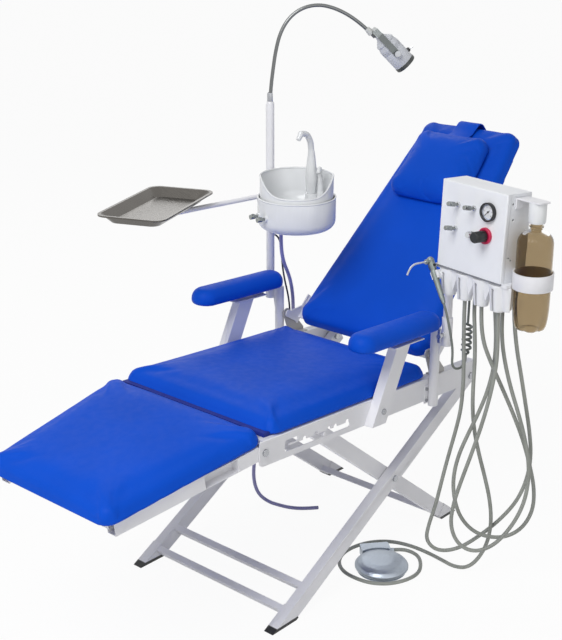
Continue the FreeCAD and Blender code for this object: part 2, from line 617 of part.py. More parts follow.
def pole_clamp(z0, z1, r, x, y):
    """Split collar on a pole, with its clamp boss."""
    collar = rod(V(x, y, z0), V(x, y, z1), r)
    return collar.cut(rod(V(x, y, z0 - 1), V(x, y, z1 + 1), POLE_R + RUN_FIT))


def tray_arm():
    x, y = LAMP_POLE.x, POLE_Y
    collar = pole_clamp(TRAY_ARM_Z - 14, TRAY_ARM_Z + 14, 18, x, y)
    start = V(x - 14, y + 3, TRAY_ARM_Z)
    bend = V(-126, 329, TRAY_ARM_Z)
    end = V(TRAY.x, TRAY.y - 2, TRAY_ARM_Z)
    arm = swept([start, bend, end], TRAY_ARM_R)
    hub = rod(V(TRAY.x, TRAY.y, TRAY_ARM_Z - 8), V(TRAY.x, TRAY.y, TRAY.z - 3.3), 14)
    plate = rod(V(TRAY.x, TRAY.y, TRAY.z - 3.3), V(TRAY.x, TRAY.y, TRAY.z - GAP), 52)
    knob = rod(V(x, y + 16, TRAY_ARM_Z), V(x, y + 27, TRAY_ARM_Z), 7)
    body = fuse([collar, arm, hub, plate, knob])
    return body.cut(rod(V(x, y, 800), V(x, y, 900), POLE_R + RUN_FIT))


def tray_loft(grow):
    """Tray volume from its floor to its rim, larger by grow on every side."""
    def ring(z, length, width, r):
        slab = box(-length / 2, length / 2, -width / 2, width / 2, 0, 1)
        slab = slab.makeFillet(r, edges_along(slab, Z))
        wire = slab.Faces[[f.CenterOfMass.z > 0.9 and abs(f.normalAt(0, 0).z) > 0.9
                           for f in slab.Faces].index(True)].OuterWire
        wire = wire.copy()
        wire.translate(V(0, 0, z - 1))
        return wire
    low = ring(-grow, TRAY_LENGTH - 56 + 2 * grow, TRAY_WIDTH - 56 + 2 * grow, 20 + grow)
    high = ring(TRAY_DEPTH, TRAY_LENGTH - 14 + 2 * grow, TRAY_WIDTH - 14 + 2 * grow, 26 + grow)
    return Part.makeLoft([low, high], True, True)


def tray():
    """Pressed instrument tray: sloping walls, flat rim with a rolled edge."""
    lip = box(-TRAY_LENGTH / 2, TRAY_LENGTH / 2, -TRAY_WIDTH / 2, TRAY_WIDTH / 2,
              TRAY_DEPTH - TRAY_SHEET, TRAY_DEPTH)
    lip = lip.makeFillet(30, edges_along(lip, Z))
    hem = box(-TRAY_LENGTH / 2, TRAY_LENGTH / 2, -TRAY_WIDTH / 2, TRAY_WIDTH / 2,
              TRAY_DEPTH - 4, TRAY_DEPTH)
    hem = hem.makeFillet(30, edges_along(hem, Z))
    hollow = box(-TRAY_LENGTH / 2 + 1.2, TRAY_LENGTH / 2 - 1.2, -TRAY_WIDTH / 2 + 1.2,
                 TRAY_WIDTH / 2 - 1.2, TRAY_DEPTH - 5, TRAY_DEPTH + 1)
    hollow = hollow.makeFillet(28.8, edges_along(hollow, Z))
    pan = fuse([tray_loft(TRAY_SHEET), lip, hem.cut(hollow)])
    inside = tray_loft(0.0)
    inside.translate(V(0, 0, 0.001))
    pan = pan.cut(inside)
    pan.translate(V(0, 0, TRAY_SHEET))
    return placed(pan, TRAY_FRAME)


# ---- cuspidor ------------------------------------------------------------------------------
SHELL_Z0, SHELL_Z1 = 792.0, 876.0
SHELL_T = 3.0
BOWL_Z0, BOWL_RIM = 812.0, 932.0
BOWL_DIP, DIP_FROM, DIP_TO, DIP_YAW = 888.0, 8.0, 92.0, 222.0      # the rim's low front
SPOUT_Z = 876.0


def turned(points, centre):
    """Solid of revolution about a vertical axis from (r, z) points."""
    pts = [V(r, 0, z) for r, z in points]
    solid = Part.Face(Part.makePolygon(pts + [pts[0]])).revolve(V(0, 0, 0), Z, 360)
    solid.translate(V(centre.x, centre.y, 0))
    return solid


def spout_base():
    return CUSPIDOR + V(56, -2, 0)


def cuspidor_shell():
    """Outer shell: drum with a rounded underside, a stepped lip and the drain outlet."""
    r, t = CUSPIDOR_R, SHELL_T
    arc = [(r - 26 + 26 * math.sin(a), SHELL_Z0 + 26 - 26 * math.cos(a))
           for a in (math.radians(15 * k) for k in range(7))]
    inner = [(r - t - 24 + 24 * math.sin(a), SHELL_Z0 + t + 24 - 24 * math.cos(a))
             for a in (math.radians(15 * k) for k in range(7))]
    outline = [(0, SHELL_Z0)] + arc + [(r, SHELL_Z1), (r - t, SHELL_Z1)] + inner[::-1] + [(0, SHELL_Z0 + t)]
    shell = turned(outline, CUSPIDOR)
    outlet = rod(V(CUSPIDOR.x + 6, CUSPIDOR.y + 60, SHELL_Z0 - 26), V(CUSPIDOR.x + 6, CUSPIDOR.y + 60, SHELL_Z0 + 8), 8)
    bore = rod(V(CUSPIDOR.x + 6, CUSPIDOR.y + 60, SHELL_Z0 - 27), V(CUSPIDOR.x + 6, CUSPIDOR.y + 60, SHELL_Z0 + 9), 5)
    valves = [rod(valve_point(k), valve_point(k) + valve_dir() * 12, 8) for k in (0, 1)]
    body = fuse([shell, outlet] + valves)
    sockets = [rod(valve_point(k) + valve_dir() * 6, valve_point(k) + valve_dir() * 14, 4 + RUN_FIT) for k in (0, 1)]
    return body.cut(fuse([bore] + sockets))


VALVE_YAWS = (150.0, 172.0)
VALVE_Z = 833.0


def valve_dir():
    a = math.radians(165.0)
    return V(math.cos(a), math.sin(a), 0)


def valve_point(k):
    a = math.radians(VALVE_YAWS[k])
    return CUSPIDOR + V(math.cos(a) * (CUSPIDOR_R - 6), math.sin(a) * (CUSPIDOR_R - 6), VALVE_Z)


def valve_knob(k):
    """Cylindrical chrome valve lever on its stem."""
    p, d = valve_point(k), valve_dir()
    stem = rod(p + d * 6.3, p + d * 20, 4)
    grip = rod(p + d * 20, p + d * 34, 6.5)
    flats = [rod(p + d * 24 + V(0, 0, 6.5), p + d * 30 + V(0, 0, 6.5), 1.5)]
    return fuse([stem, grip] + flats)


def dip_cutter():
    """Cosine-shaped cutter that lowers the front of the bowl's rim."""
    steps, reach = 20, 150
    mean, half = (BOWL_RIM + BOWL_DIP) / 2, (BOWL_RIM - BOWL_DIP) / 2
    curve = [V(DIP_FROM + (DIP_TO - DIP_FROM) * k / steps, -reach, mean + half * math.cos(math.pi * k / steps))
             for k in range(steps + 1)]
    outline = curve + [V(reach, -reach, BOWL_DIP), V(reach, -reach, BOWL_RIM + 5), V(DIP_FROM, -reach, BOWL_RIM + 5)]
    return placed(polygon(outline, V(0, 2 * reach, 0)), Placement(CUSPIDOR, Rotation(Z, DIP_YAW)))


def cuspidor_bowl():
    """Bowl with its dipped rim, the drain and the ledge with the small rinse nozzle."""
    r, t, z0 = CUSPIDOR_R - 6.5, SHELL_T, BOWL_Z0
    outline = [(0, z0), (40, z0 + 2), (72, z0 + 14), (r - 4, z0 + 40), (r, z0 + 60), (r, BOWL_RIM),
               (r - t, BOWL_RIM), (r - t, z0 + 60), (r - t - 5, z0 + 43), (70, z0 + 18), (40, z0 + 5),
               (0, z0 + 3)]
    bowl = turned(outline, CUSPIDOR)
    bowl = bowl.cut(dip_cutter())
    drain = rod(CUSPIDOR + V(0, 0, z0 - 1), CUSPIDOR + V(0, 0, z0 + 8), 17)
    cross = fuse([box(-17, 17, -1.5, 1.5, z0, z0 + 3), box(-1.5, 1.5, -17, 17, z0, z0 + 3),
                  pipe(V(0, 0, z0), V(0, 0, z0 + 3), 9, 2)])
    cross.translate(CUSPIDOR)
    bowl = fuse([bowl.cut(drain), cross])
    base = spout_base()
    ledge = rod(base + V(0, 0, z0 + 14), base + V(0, 0, SPOUT_Z), 17)
    p = CUSPIDOR + V(64, -26, 0)
    nozzle_foot = rod(p + V(0, 0, z0 + 20), p + V(0, 0, SPOUT_Z + 6), 8)
    nozzle = fuse([rod(p + V(0, 0, SPOUT_Z), p + V(0, 0, SPOUT_Z + 52), 8, 5.5),
                   swept([p + V(0, 0, SPOUT_Z + 51), p + V(0, 0, SPOUT_Z + 66), p + V(-14, -8, SPOUT_Z + 72),
                          p + V(-23, -13, SPOUT_Z + 60)], 5.4)])
    body = fuse([bowl, ledge, nozzle_foot, nozzle])
    return body.cut(rod(base + V(0, 0, SPOUT_Z - 20), base + V(0, 0, SPOUT_Z + 1), 8 + RUN_FIT))


def cup_filler():
    """Swan-neck spout that fills the cup: a swelling column and a slim neck."""
    base = spout_base()
    stem = rod(base + V(0, 0, SPOUT_Z - 19.7), base + V(0, 0, SPOUT_Z + GAP), 8)
    column = turned([(0, SPOUT_Z + GAP), (12.5, SPOUT_Z + GAP), (15.5, SPOUT_Z + 34), (15, SPOUT_Z + 56),
                     (11.5, SPOUT_Z + 88), (8.5, SPOUT_Z + 112), (0, SPOUT_Z + 112)], base)
    bend = [base + V(0, 0, SPOUT_Z + 108), base + V(-4, 0, SPOUT_Z + 138), base + V(-20, 0, SPOUT_Z + 160),
            base + V(-42, 0, SPOUT_Z + 163)]
    neck = swept(bend, 8)
    tip = rod(bend[-1], bend[-1] + V(-11, 0, -15), 8, 6)
    return fuse([stem, column, neck, Part.makeSphere(8, bend[-1]), tip])


CUSP_ARM_Z = 822.0


def cuspidor_arm():
    """Clamp collar on the pole and the arm that carries the shell."""
    x, y = LAMP_POLE.x, POLE_Y
    collar = pole_clamp(CUSP_ARM_Z - 16, CUSP_ARM_Z + 16, 17, x, y)
    d = (V(CUSPIDOR.x - x, CUSPIDOR.y - y, 0)).normalize()
    start = V(x, y, CUSP_ARM_Z) + d * 13
    end = CUSPIDOR + V(0, 0, CUSP_ARM_Z) - d * (CUSPIDOR_R - SHELL_T)
    arm = rod(start, end, 11)
    body = fuse([collar, arm])
    body = body.cut(rod(V(x, y, 700), V(x, y, 900), POLE_R + RUN_FIT))
    keep_out = rod(CUSPIDOR + V(0, 0, SHELL_Z0), CUSPIDOR + V(0, 0, SHELL_Z1), CUSPIDOR_R)
    return body.cut(keep_out)


# ---- handpiece unit ------------------------------------------------------------------------
def at(w, d, h):
    """Point in the unit's frame: w to the right of the panel, d back from it, h above its base."""
    return V(d, -w, h)


def ubox(w0, w1, d0, d1, h0, h1):
    return box(d0, d1, -w1, -w0, h0, h1)


def in_unit(shape):
    return placed(shape, UNIT)


TOGGLES = ((56, 155), (107, 156), (53, 98))
NEEDLE_VALVE = (108, 96)
GAUGE = (154, 157)
GAUGE_R = 22.0
REGULATOR = (149, 101)


def unit_pole():
    """Pole with the saddle bracket that carries the case."""
    p = UNIT_POLE
    pole = fuse([pipe(p, V(p.x, p.y, UNIT_POLE_TOP), POLE_R, WALL),
                 rod(V(p.x, p.y, UNIT_POLE_TOP - 3), V(p.x, p.y, UNIT_POLE_TOP + 2), POLE_R - WALL)])
    plates = []
    for h in (18, 62):
        c = UNIT.inverse().multVec(V(p.x, p.y, 0))
        plates.append(in_unit(ubox(-24, -GAP, 48, 78, h, h + 6)))
    back = in_unit(ubox(-4, -GAP, 44, 79, 8, 80))
    return fuse([pole, back] + plates)


def unit_case():
    """Case: front cover with folded side flanges over a chassis, seams and holes on the side."""
    body = ubox(0, CASE_W, 0, CASE_D, 0, CASE_H)
    body = body.makeFillet(3, edges_along(body, Z) + edges_along(body, Y, lambda e: e.CenterOfMass.z > 200))
    seams = [ubox(CASE_W - 0.8, CASE_W + 1, 13, CASE_D + 1, 6, CASE_H - 6),
             ubox(-1, 0.8, 13, CASE_D + 1, 6, CASE_H - 6),
             ubox(-1, CASE_W + 1, 11.5, 13, -1, CASE_H - 5.4).cut(ubox(2, CASE_W - 2, 0, 80, -2, 300))]
    for d, h in ((20, 182), (24, 146), (20, 58), (27, 52)):
        seams.append(rod(at(CASE_W - 4, d, h), at(CASE_W + 1, d, h), 2.6))
    vents = [ubox(40 + 12 * k, 44 + 12 * k, CASE_D - 2, CASE_D + 1, 120, 170) for k in range(10)]
    inside = [ubox(2.5, CASE_W - 2.5, 2.5, CASE_D - 2.5, 2.5, CASE_H - 2.5),
              ubox(12, CASE_W - 12, 12, CASE_D - 16, -1, 3)]
    bosses = []
    for w, h in TOGGLES + (NEEDLE_VALVE, REGULATOR):
        bosses.append(rod(at(w, -1, h), at(w, 9, h), 4.6))
    body = body.cut(fuse(seams + inside)).cut(fuse(vents + bosses))
    return in_unit(body)


def panel_fittings():
    """Toggle collars, needle-valve bush, regulator bush and the pressure gauge's can and rim."""
    parts = []
    for w, h in TOGGLES:
        nut = rod(at(w, 0, h), at(w, -5, h), 7)
        stem = rod(at(w, 9, h), at(w, 0, h), 4.6)
        cup = Part.makeSphere(4.2, at(w, -4.5, h))
        parts.append(fuse([stem, nut]).cut(cup))
    w, h = NEEDLE_VALVE
    parts.append(fuse([rod(at(w, 9, h), at(w, 0, h), 4.6), rod(at(w, 0, h), at(w, -4, h), 6)]).cut(
        rod(at(w, -1, h), at(w, -5, h), 2.5 + RUN_FIT)))
    w, h = REGULATOR
    ring = rod(at(w, 0, h), at(w, -7, h), 19)
    parts.append(fuse([rod(at(w, 9, h), at(w, 0, h), 4.6), ring]).cut(
        rod(at(w, -1, h), at(w, -8, h), 5 + RUN_FIT)))
    w, h = GAUGE
    can = rod(at(w, 0, h), at(w, -11, h), GAUGE_R)
    well = rod(at(w, -3, h), at(w, -12, h), GAUGE_R - 3.5)
    hub = rod(at(w, -3, h), at(w, -3.8, h), 3)
    parts.append(fuse([can.cut(well), hub]))
    return in_unit(group(parts))


def toggle(k):
    """Toggle lever: ball on its pivot pin's bore in the collar, and a tapered stick."""
    w, h = TOGGLES[k]
    base, tip = at(w, -4.5, h), at(w - 1, -34, h + 5)
    neck = base + (tip - base) * 0.27
    lever = fuse([Part.makeSphere(3.9, base), rod(base, neck, 2.6), rod(neck, tip, 4.8)])
    return in_unit(lever.cut(rod(at(w - 5, -4.5, h), at(w + 5, -4.5, h), PIVOT_R)))


def needle_knob():
    w, h = NEEDLE_VALVE
    spindle = rod(at(w, -1.5, h), at(w, -12, h), 2.5)
    knob = rod(at(w, -8, h), at(w, -18, h), 6.5)
    teeth = [rod(at(w + 6.5 * math.cos(a), -8, h + 6.5 * math.sin(a)),
                 at(w + 6.5 * math.cos(a), -18, h + 6.5 * math.sin(a)), 0.9)
             for a in (math.radians(36 * k) for k in range(10))]
    return in_unit(fuse([spindle, knob] + teeth))


def gauge_needle():
    w, h = GAUGE
    a = math.radians(225)
    tip = at(w + 14 * math.cos(a), -5, h + 14 * math.sin(a))
    tail = at(w - 5 * math.cos(a), -5, h - 5 * math.sin(a))
    hub = rod(at(w, -4.1, h), at(w, -6, h), 2.2)
    return in_unit(fuse([hub, rod(tail, tip, 0.9, 0.4)]))


def regulator_knob():
    """Black knob with grip flutes on its spindle."""
    w, h = REGULATOR
    spindle = rod(at(w, -1.3, h), at(w, -12, h), 5)
    knob = fuse([rod(at(w, -7.3, h), at(w, -37, h), 13), rod(at(w, -37, h), at(w, -40, h), 13, 11)])
    flutes = [rod(at(w + 14.8 * math.cos(a), -14, h + 14.8 * math.sin(a)),
                  at(w + 14.8 * math.cos(a), -41, h + 14.8 * math.sin(a)), 2.4)
              for a in (math.radians(30 * k) for k in range(12))]
    return in_unit(fuse([spindle, knob]).cut(fuse(flutes)))


POCKETS = (26, 79, 132, 185)
POCKET_D = 22.0
POCKET_BORE = 9.0
HOSE_EXIT_D, HOSE_EXIT_H = 64, -16
HOSE_EXITS = (195, 132, 163, 72, 52)
RING_R, RING_WALL, RING_Z0, RING_Z1 = 46.0, 3.0, 789.0, 827.0


def holder():
    """Moulded holder: a top web, four tapered U cradles with V ribs, valve holes and an end lug."""
    parts = [ubox(-8, 222, 4, 72, -8, 0), ubox(-8, 222, 50, 56, -40, -8)]
    for w in POCKETS:
        cradle = rod(at(w, POCKET_D, -6), at(w, POCKET_D, -70), 26, 17)
        wedge = polygon([at(w - 16, 52, -8), at(w + 16, 52, -8), at(w, 52, -60)], V(-34, 0, 0))
        parts += [cradle, wedge]
    for w in POCKETS[:-1]:
        middle = w + (POCKETS[1] - POCKETS[0]) / 2
        parts.append(polygon([at(middle - 15, 26, -8), at(middle + 15, 26, -8), at(middle, 26, -52)],
                             V(-20, 0, 0)))
    end = polygon([at(206, 4, 0), at(206, 72, 0), at(222, 72, 0), at(240, 60, 0), at(244, 40, 0),
                   at(238, 14, 0), at(222, 4, 0)], V(0, 0, -34))
    lug = rod(at(208, 30, -8), at(210, 30, -66), 24, 14)
    parts += [lug]
    parts += [rod(at(w, HOSE_EXIT_D, -4), at(w, HOSE_EXIT_D, HOSE_EXIT_H), 7) for w in HOSE_EXITS]
    body = fuse(parts)
    cuts = []
    for w in POCKETS:
        cuts.append(rod(at(w, POCKET_D, -80), at(w, POCKET_D, -12), POCKET_BORE))
        cuts.append(ubox(w - 2.9, w + 2.9, -10, POCKET_D, -80, -18))
        cuts.append(rod(at(w, -12, -18), at(w, POCKET_D, -18), 4.2))
        cuts.append(rod(at(w, POCKET_D, -27), at(w, 60, -27), 2.5))
    body = body.cut(fuse(cuts))
    p, d = at(8.5, -12, -23.7), at(53, 0, -89).normalize()
    clip = rod(p - d * 9, p + d * 9, 11).cut(fuse([rod(p - d * 10, p + d * 10, 8.6),
                                                   ubox(-30, 40, -30, -15, -60, 10)]))
    link = ubox(2, 15, -2, 8, -34, -14)
    link = link.cut(rod(p - d * 20, p + d * 20, 10))
    ring_room = rod(BOTTLE_AXIS + V(0, 0, 700), BOTTLE_AXIS + V(0, 0, 900), RING_R + 1)
    return in_unit(fuse([body, clip, link])).cut(ring_room)


# ---- three way syringe ---------------------------------------------------------------------
SYR_HEAD, SYR_TAIL = (-8, -12, 4), (45, -12, -85)


def syringe_frame():
    """Z from the tail to the head, X towards the panel's back, origin at the head."""
    head, tail = UNIT.multVec(at(*SYR_HEAD)), UNIT.multVec(at(*SYR_TAIL))
    z = (head - tail).normalize()
    x = UNIT.Rotation.multVec(V(1, 0, 0))
    return Placement(head, Rotation(x, z.cross(x), z, "XYZ"))


SYR = syringe_frame()
SYR_LENGTH = 103.6


def syringe_body():
    """Syringe handle, waisted head with two button wells and the nozzle socket."""
    low = -SYR_LENGTH
    handle = fuse([rod(V(0, 0, low), V(0, 0, low + 10), 4.6, 6), rod(V(0, 0, low + 10), V(0, 0, -18), 6, 8)])
    head = fuse([rod(V(0, 0, -18), V(0, 0, 4), 9), Part.makeSphere(9, V(0, 0, 4)),
                 rod(V(0, 0, 2), V(-16, 0, 2), 7.5, 6)])
    wells = [rod(V(0, s * 3.3, -10), V(0, s * 12, -10), 3.4) for s in SIDES]
    bore = rod(V(-9, 0, 2), V(-17, 0, 2), 3 + RUN_FIT)
    return placed(fuse([handle, head]).cut(fuse(wells + [bore])), SYR)


def syringe_nozzle():
    """Cranked metal nozzle turning in the head."""
    a = V(-9.3, 0, 2)
    stem = rod(a, a + V(-9, 0, 0), 3)
    reach = swept([a + V(-9, 0, 0), a + V(-42, 0, 0), a + V(-60, 0, -8), a + V(-76, 0, -24)], 2.2)
    return placed(fuse([stem, reach]), SYR)


def syringe_button(side):
    return placed(rod(V(0, side * 6.8, -10), V(0, side * 11.2, -10), 3.0), SYR)


# ---- hoses ---------------------------------------------------------------------------------
HOSE_R, SYRINGE_HOSE_R, DRAIN_R, CABLE_R = 4.75, 3.0, 5.0, 2.5
GLAND_GAP = 2.8             # from the cable's end to the gland, which turns with the pole
HOSE_TOP, HOSE_DROP_H = -12, -50
COIL_R, COIL_LOW, COIL_TOP = 14.0, V(89, -372, 574), V(96, -369, 652)
HOSE_A = ((64, -379, 640), (69, -380, 569), (71, -381, 500), (69, -379, 435), (61, -370, 372),
          (52, -359, 307), (44, -349, 240), (36, -340, 175), (26, -329, 122), (21, -325, 78),
          (40, -349, 47), (72, -391, 56), (100, -436, 100), (127, -476, 150), (146, -508, 205),
          (155, -526, 268), (155, -532, 333), (145, -527, 405), (132, -518, 478), (119, -509, 550),
          (101, -503, 620), (88, -500, 688))
HOSE_B = ((53, -437, 640), (66, -460, 577), (81, -486, 515), (97, -510, 452), (113, -531, 387),
          (127, -546, 320), (138, -557, 255), (142, -555, 195), (131, -536, 144), (106, -506, 118),
          (78, -471, 117), (53, -440, 134), (34, -415, 171), (23, -402, 222), (20, -398, 277),
          (27, -405, 337), (42, -420, 394), (58, -437, 450), (73, -450, 508), (82, -457, 568),
          (86, -456, 628), (92, -446, 690))
HOSE_C = ((40, -488, 650), (38, -490, 599), (32, -486, 541), (24, -479, 484), (15, -469, 426),
          (4, -456, 364), (-9, -442, 300), (-20, -429, 236), (-23, -424, 175), (-8, -438, 122),
          (20, -468, 98), (52, -502, 114), (77, -529, 158), (95, -549, 212), (103, -558, 270),
          (103, -557, 335), (96, -545, 402), (85, -529, 466), (73, -511, 529), (66, -496, 588),
          (68, -482, 642), (80, -471, 698))
HOSE_P = ((90, -388, 690), (79, -401, 634), (68, -412, 574), (63, -414, 511), (64, -415, 450),
          (69, -421, 390), (78, -432, 331), (89, -445, 272), (99, -457, 211), (104, -463, 150),
          (101, -459, 92), (88, -444, 44), (73, -421, 13), (66, -385, 5.0), (74, -340, 4.9),
          (80, -290, 5.0), (80, -240, 4.9), (66, -190, 5.0), (32, -152, 4.9), (-18, -131, 5.0),
          (-70, -130, 4.9), (-112, -150, 5.0), (-139, -186, 4.9), (-145, -228, 5.0),
          (-138, -275, 4.9), (-107, -314, 5.0), (-63, -334, 4.9), (-18, -336, 5.0),
          (22, -314, 4.9), (49, -286, 5.5), (53, -258, 6.8), (42.6, -236.4, 9))
SYRINGE_TUBE = ((31.5, -354.6, 672), (34.6, -361.2, 640), (41.5, -363.7, 606), (45.2, -363, 582),
                (45.3, -362, 558), (56, -364.5, 544), (74, -368.8, 542), (87.2, -372.77, 554.1))
COIL_TAIL = ((98.7, -367.85, 682), (102, -366, 713))
DRAIN = ((98, 233, 765.7), (99, 234, 722), (115, 238, 677), (146, 246, 634), (170, 256, 588),
         (180, 260, 540), (180, 261, 488), (173, 262, 436), (157, 263, 386), (133, 263, 338),
         (106, 262, 292), (77, 261, 246), (48, 259, 200), (22, 256, 154), (3, 251, 108),
         (-5, 244, 64), (0, 232, 26), (12, 205, 6), (18, 170, 5.2), (28, 134, 5.1),
         (50, 102, 5.2), (80, 78, 5.1))
CABLE = ((136.3, 288.52, 742.1), (146.5, 286.8, 735.7), (153, 283, 716), (153, 279, 686), (150, 274, 652),
         (152, 267, 612), (158, 260, 572), (161, 256, 532), (160, 256, 496), (155, 258, 466),
         (151, 257, 445.5), (150.2, 249.3, 436.5))


def points(route):
    return [V(*p) for p in route]


def hose(name, pocket, route, exit_w):
    """Handpiece hose: out of a pocket's bore, down, round and back up to the unit's underside."""
    w = POCKETS[pocket]
    start = [UNIT.multVec(at(w, POCKET_D, h)) for h in (HOSE_TOP, -66)]
    end = [UNIT.multVec(at(exit_w, HOSE_EXIT_D, h)) for h in (HOSE_DROP_H, HOSE_EXIT_H)]
    return swept(start + points(route) + end, HOSE_R, name)


def cable_grommet():
    """Bush in the lamp-side rail that the lamp cable goes into."""
    end, inward = V(*CABLE[-1]), (V(*CABLE[-1]) - V(*CABLE[-2])).normalize()
    bush = rod(end, end + inward * 9, CABLE_R + 1.5)
    return bush.common(box(100, 200, FRAME_HALF - 1, 300, 300, 600))


def pedal_hose():
    start = [UNIT.multVec(at(72, HOSE_EXIT_D, h)) for h in (HOSE_EXIT_H, HOSE_DROP_H)]
    end = Placement(PEDAL, Rotation(Z, PEDAL_YAW)).multVec(PEDAL_NIPPLE)
    return swept(start + points(HOSE_P) + [end], HOSE_R, "pedal_hose")


def syringe_hose():
    """The syringe's tube down to its coil, and the short stretch from the coil to the unit."""
    tail = SYR.multVec(V(0, 0, -SYR_LENGTH))
    down = SYR.multVec(V(0, 0, -SYR_LENGTH - 18))
    up = [UNIT.multVec(at(52, HOSE_EXIT_D, h)) for h in (-44, HOSE_EXIT_H)]
    lower = swept([tail, down] + points(SYRINGE_TUBE) + [COIL_LOW], SYRINGE_HOSE_R, "syringe tube")
    upper = swept([COIL_TOP] + points(COIL_TAIL) + up, SYRINGE_HOSE_R, "coil tail")
    return group([lower, upper])


def syringe_coil():
    return rod(COIL_LOW, COIL_TOP, COIL_R)


# ---- bottle --------------------------------------------------------------------------------
BOTTLE_BASE = 690.0


def bottle():
    """Bottle with a round shoulder, a slim neck and a narrowed foot, hung by its neck thread."""
    z, r, wall = BOTTLE_BASE, BOTTLE_R, 2.0
    outside = [(18, 4), (27, 0), (34, 8), (r - 3, 30), (r, 54), (r, 198), (r - 2, 212), (r - 8, 223),
               (r - 18, 231), (14, 236)]
    outer = [(0, 8)] + outside + [(13.2, 240), (13.2, 258)]
    inner = [(10.7, 258), (10.7, 239)] + [(q - wall - 0.4, h - 1) for q, h in outside[:1:-1]] + [(26, 4), (18, 8), (0, 12)]
    return turned([(q, z + h) for q, h in outer + inner], BOTTLE_AXIS)


def bottle_cap():
    """Cap that the neck screws into."""
    c = BOTTLE_AXIS
    cup = rod(c + V(0, 0, 946), c + V(0, 0, CAP_TOP + 4), 20)
    flare = rod(c + V(0, 0, 940), c + V(0, 0, 946), 18.5, 20)
    bore = rod(c + V(0, 0, 939), c + V(0, 0, BOTTLE_BASE + 258 + GAP + 12), 13.2 + GAP)
    top = UNIT.inverse().multVec(c + V(0, 0, CAP_TOP))
    above = in_unit(ubox(150, 350, -60, 140, top.z + GAP, top.z + 40))
    return fuse([cup, flare]).cut(bore).cut(above)


def bottle_bracket():
    """Top plate from the case to the cap, and the ring round the bottle on its arm."""
    g = BOTTLE_AXIS
    c = UNIT.inverse().multVec(g + V(0, 0, CAP_TOP))
    plate = ubox(CASE_W, -c.y + 22, c.x - 20, c.x + 20, c.z + GAP, c.z + 3.3)
    plate = plate.makeFillet(8, edges_along(plate, Z, lambda e: -e.CenterOfMass.y > CASE_W + 5))
    tab = ubox(CASE_W, CASE_W + 3, c.x - 20, c.x + 20, c.z - 22, c.z + 3.3)
    ring = pipe(g + V(0, 0, RING_Z0), g + V(0, 0, RING_Z1), RING_R, RING_WALL)
    side = UNIT.inverse().multVec(g + V(0, 0, RING_Z0))
    arm = ubox(CASE_W, -side.y - RING_R + 4, side.x - 9, side.x + 9, 6, 26)
    room = rod(g + V(0, 0, 700), g + V(0, 0, 900), RING_R - 1)
    return fuse([in_unit(fuse([plate, tab])), fuse([ring, in_unit(arm).cut(room)])])


# ---- foot pedal ----------------------------------------------------------------------------
def pedal_base():
    """Round base with a raised rim, valve housing behind it and the hose nipple."""
    rim = rod(V(0, 0, 0), V(0, 0, 3), PEDAL_R - 6, PEDAL_R - 5)
    rim = fuse([rim, pipe(V(0, 0, 3), V(0, 0, 11), PEDAL_R - 7, 2.5)])
    post = rod(V(0, 0, 3), V(0, 0, 12), 12)
    neck = box(PEDAL_R - 20, PEDAL_R, -10, 10, 0, 3)
    house = box(PEDAL_R - 10, PEDAL_R + 27, -38, 38, 0, 24)
    house = house.makeFillet(6, edges_along(house, Z)).cut(rod(V(0, 0, 4), V(0, 0, 40), PEDAL_R + 1.2))
    nipple = rod(PEDAL_NIPPLE + V(0, 14, 0), PEDAL_NIPPLE, 5.5)
    return placed(fuse([rim, post, neck, house, nipple]), Placement(PEDAL, Rotation(Z, PEDAL_YAW)))


PEDAL_NIPPLE = V(77, -50, 9)


def pedal_disc():
    """Foot disc: skirted dome that travels down over the base."""
    outline = [(0, 21), (PEDAL_R - 14, 20), (PEDAL_R - 5.5, 16), (PEDAL_R - 4, 10), (PEDAL_R, 10), (PEDAL_R, 16),
               (PEDAL_R - 6, 23), (PEDAL_R - 18, 27), (30, 29.5), (0, 30)]
    return turned(outline, PEDAL)


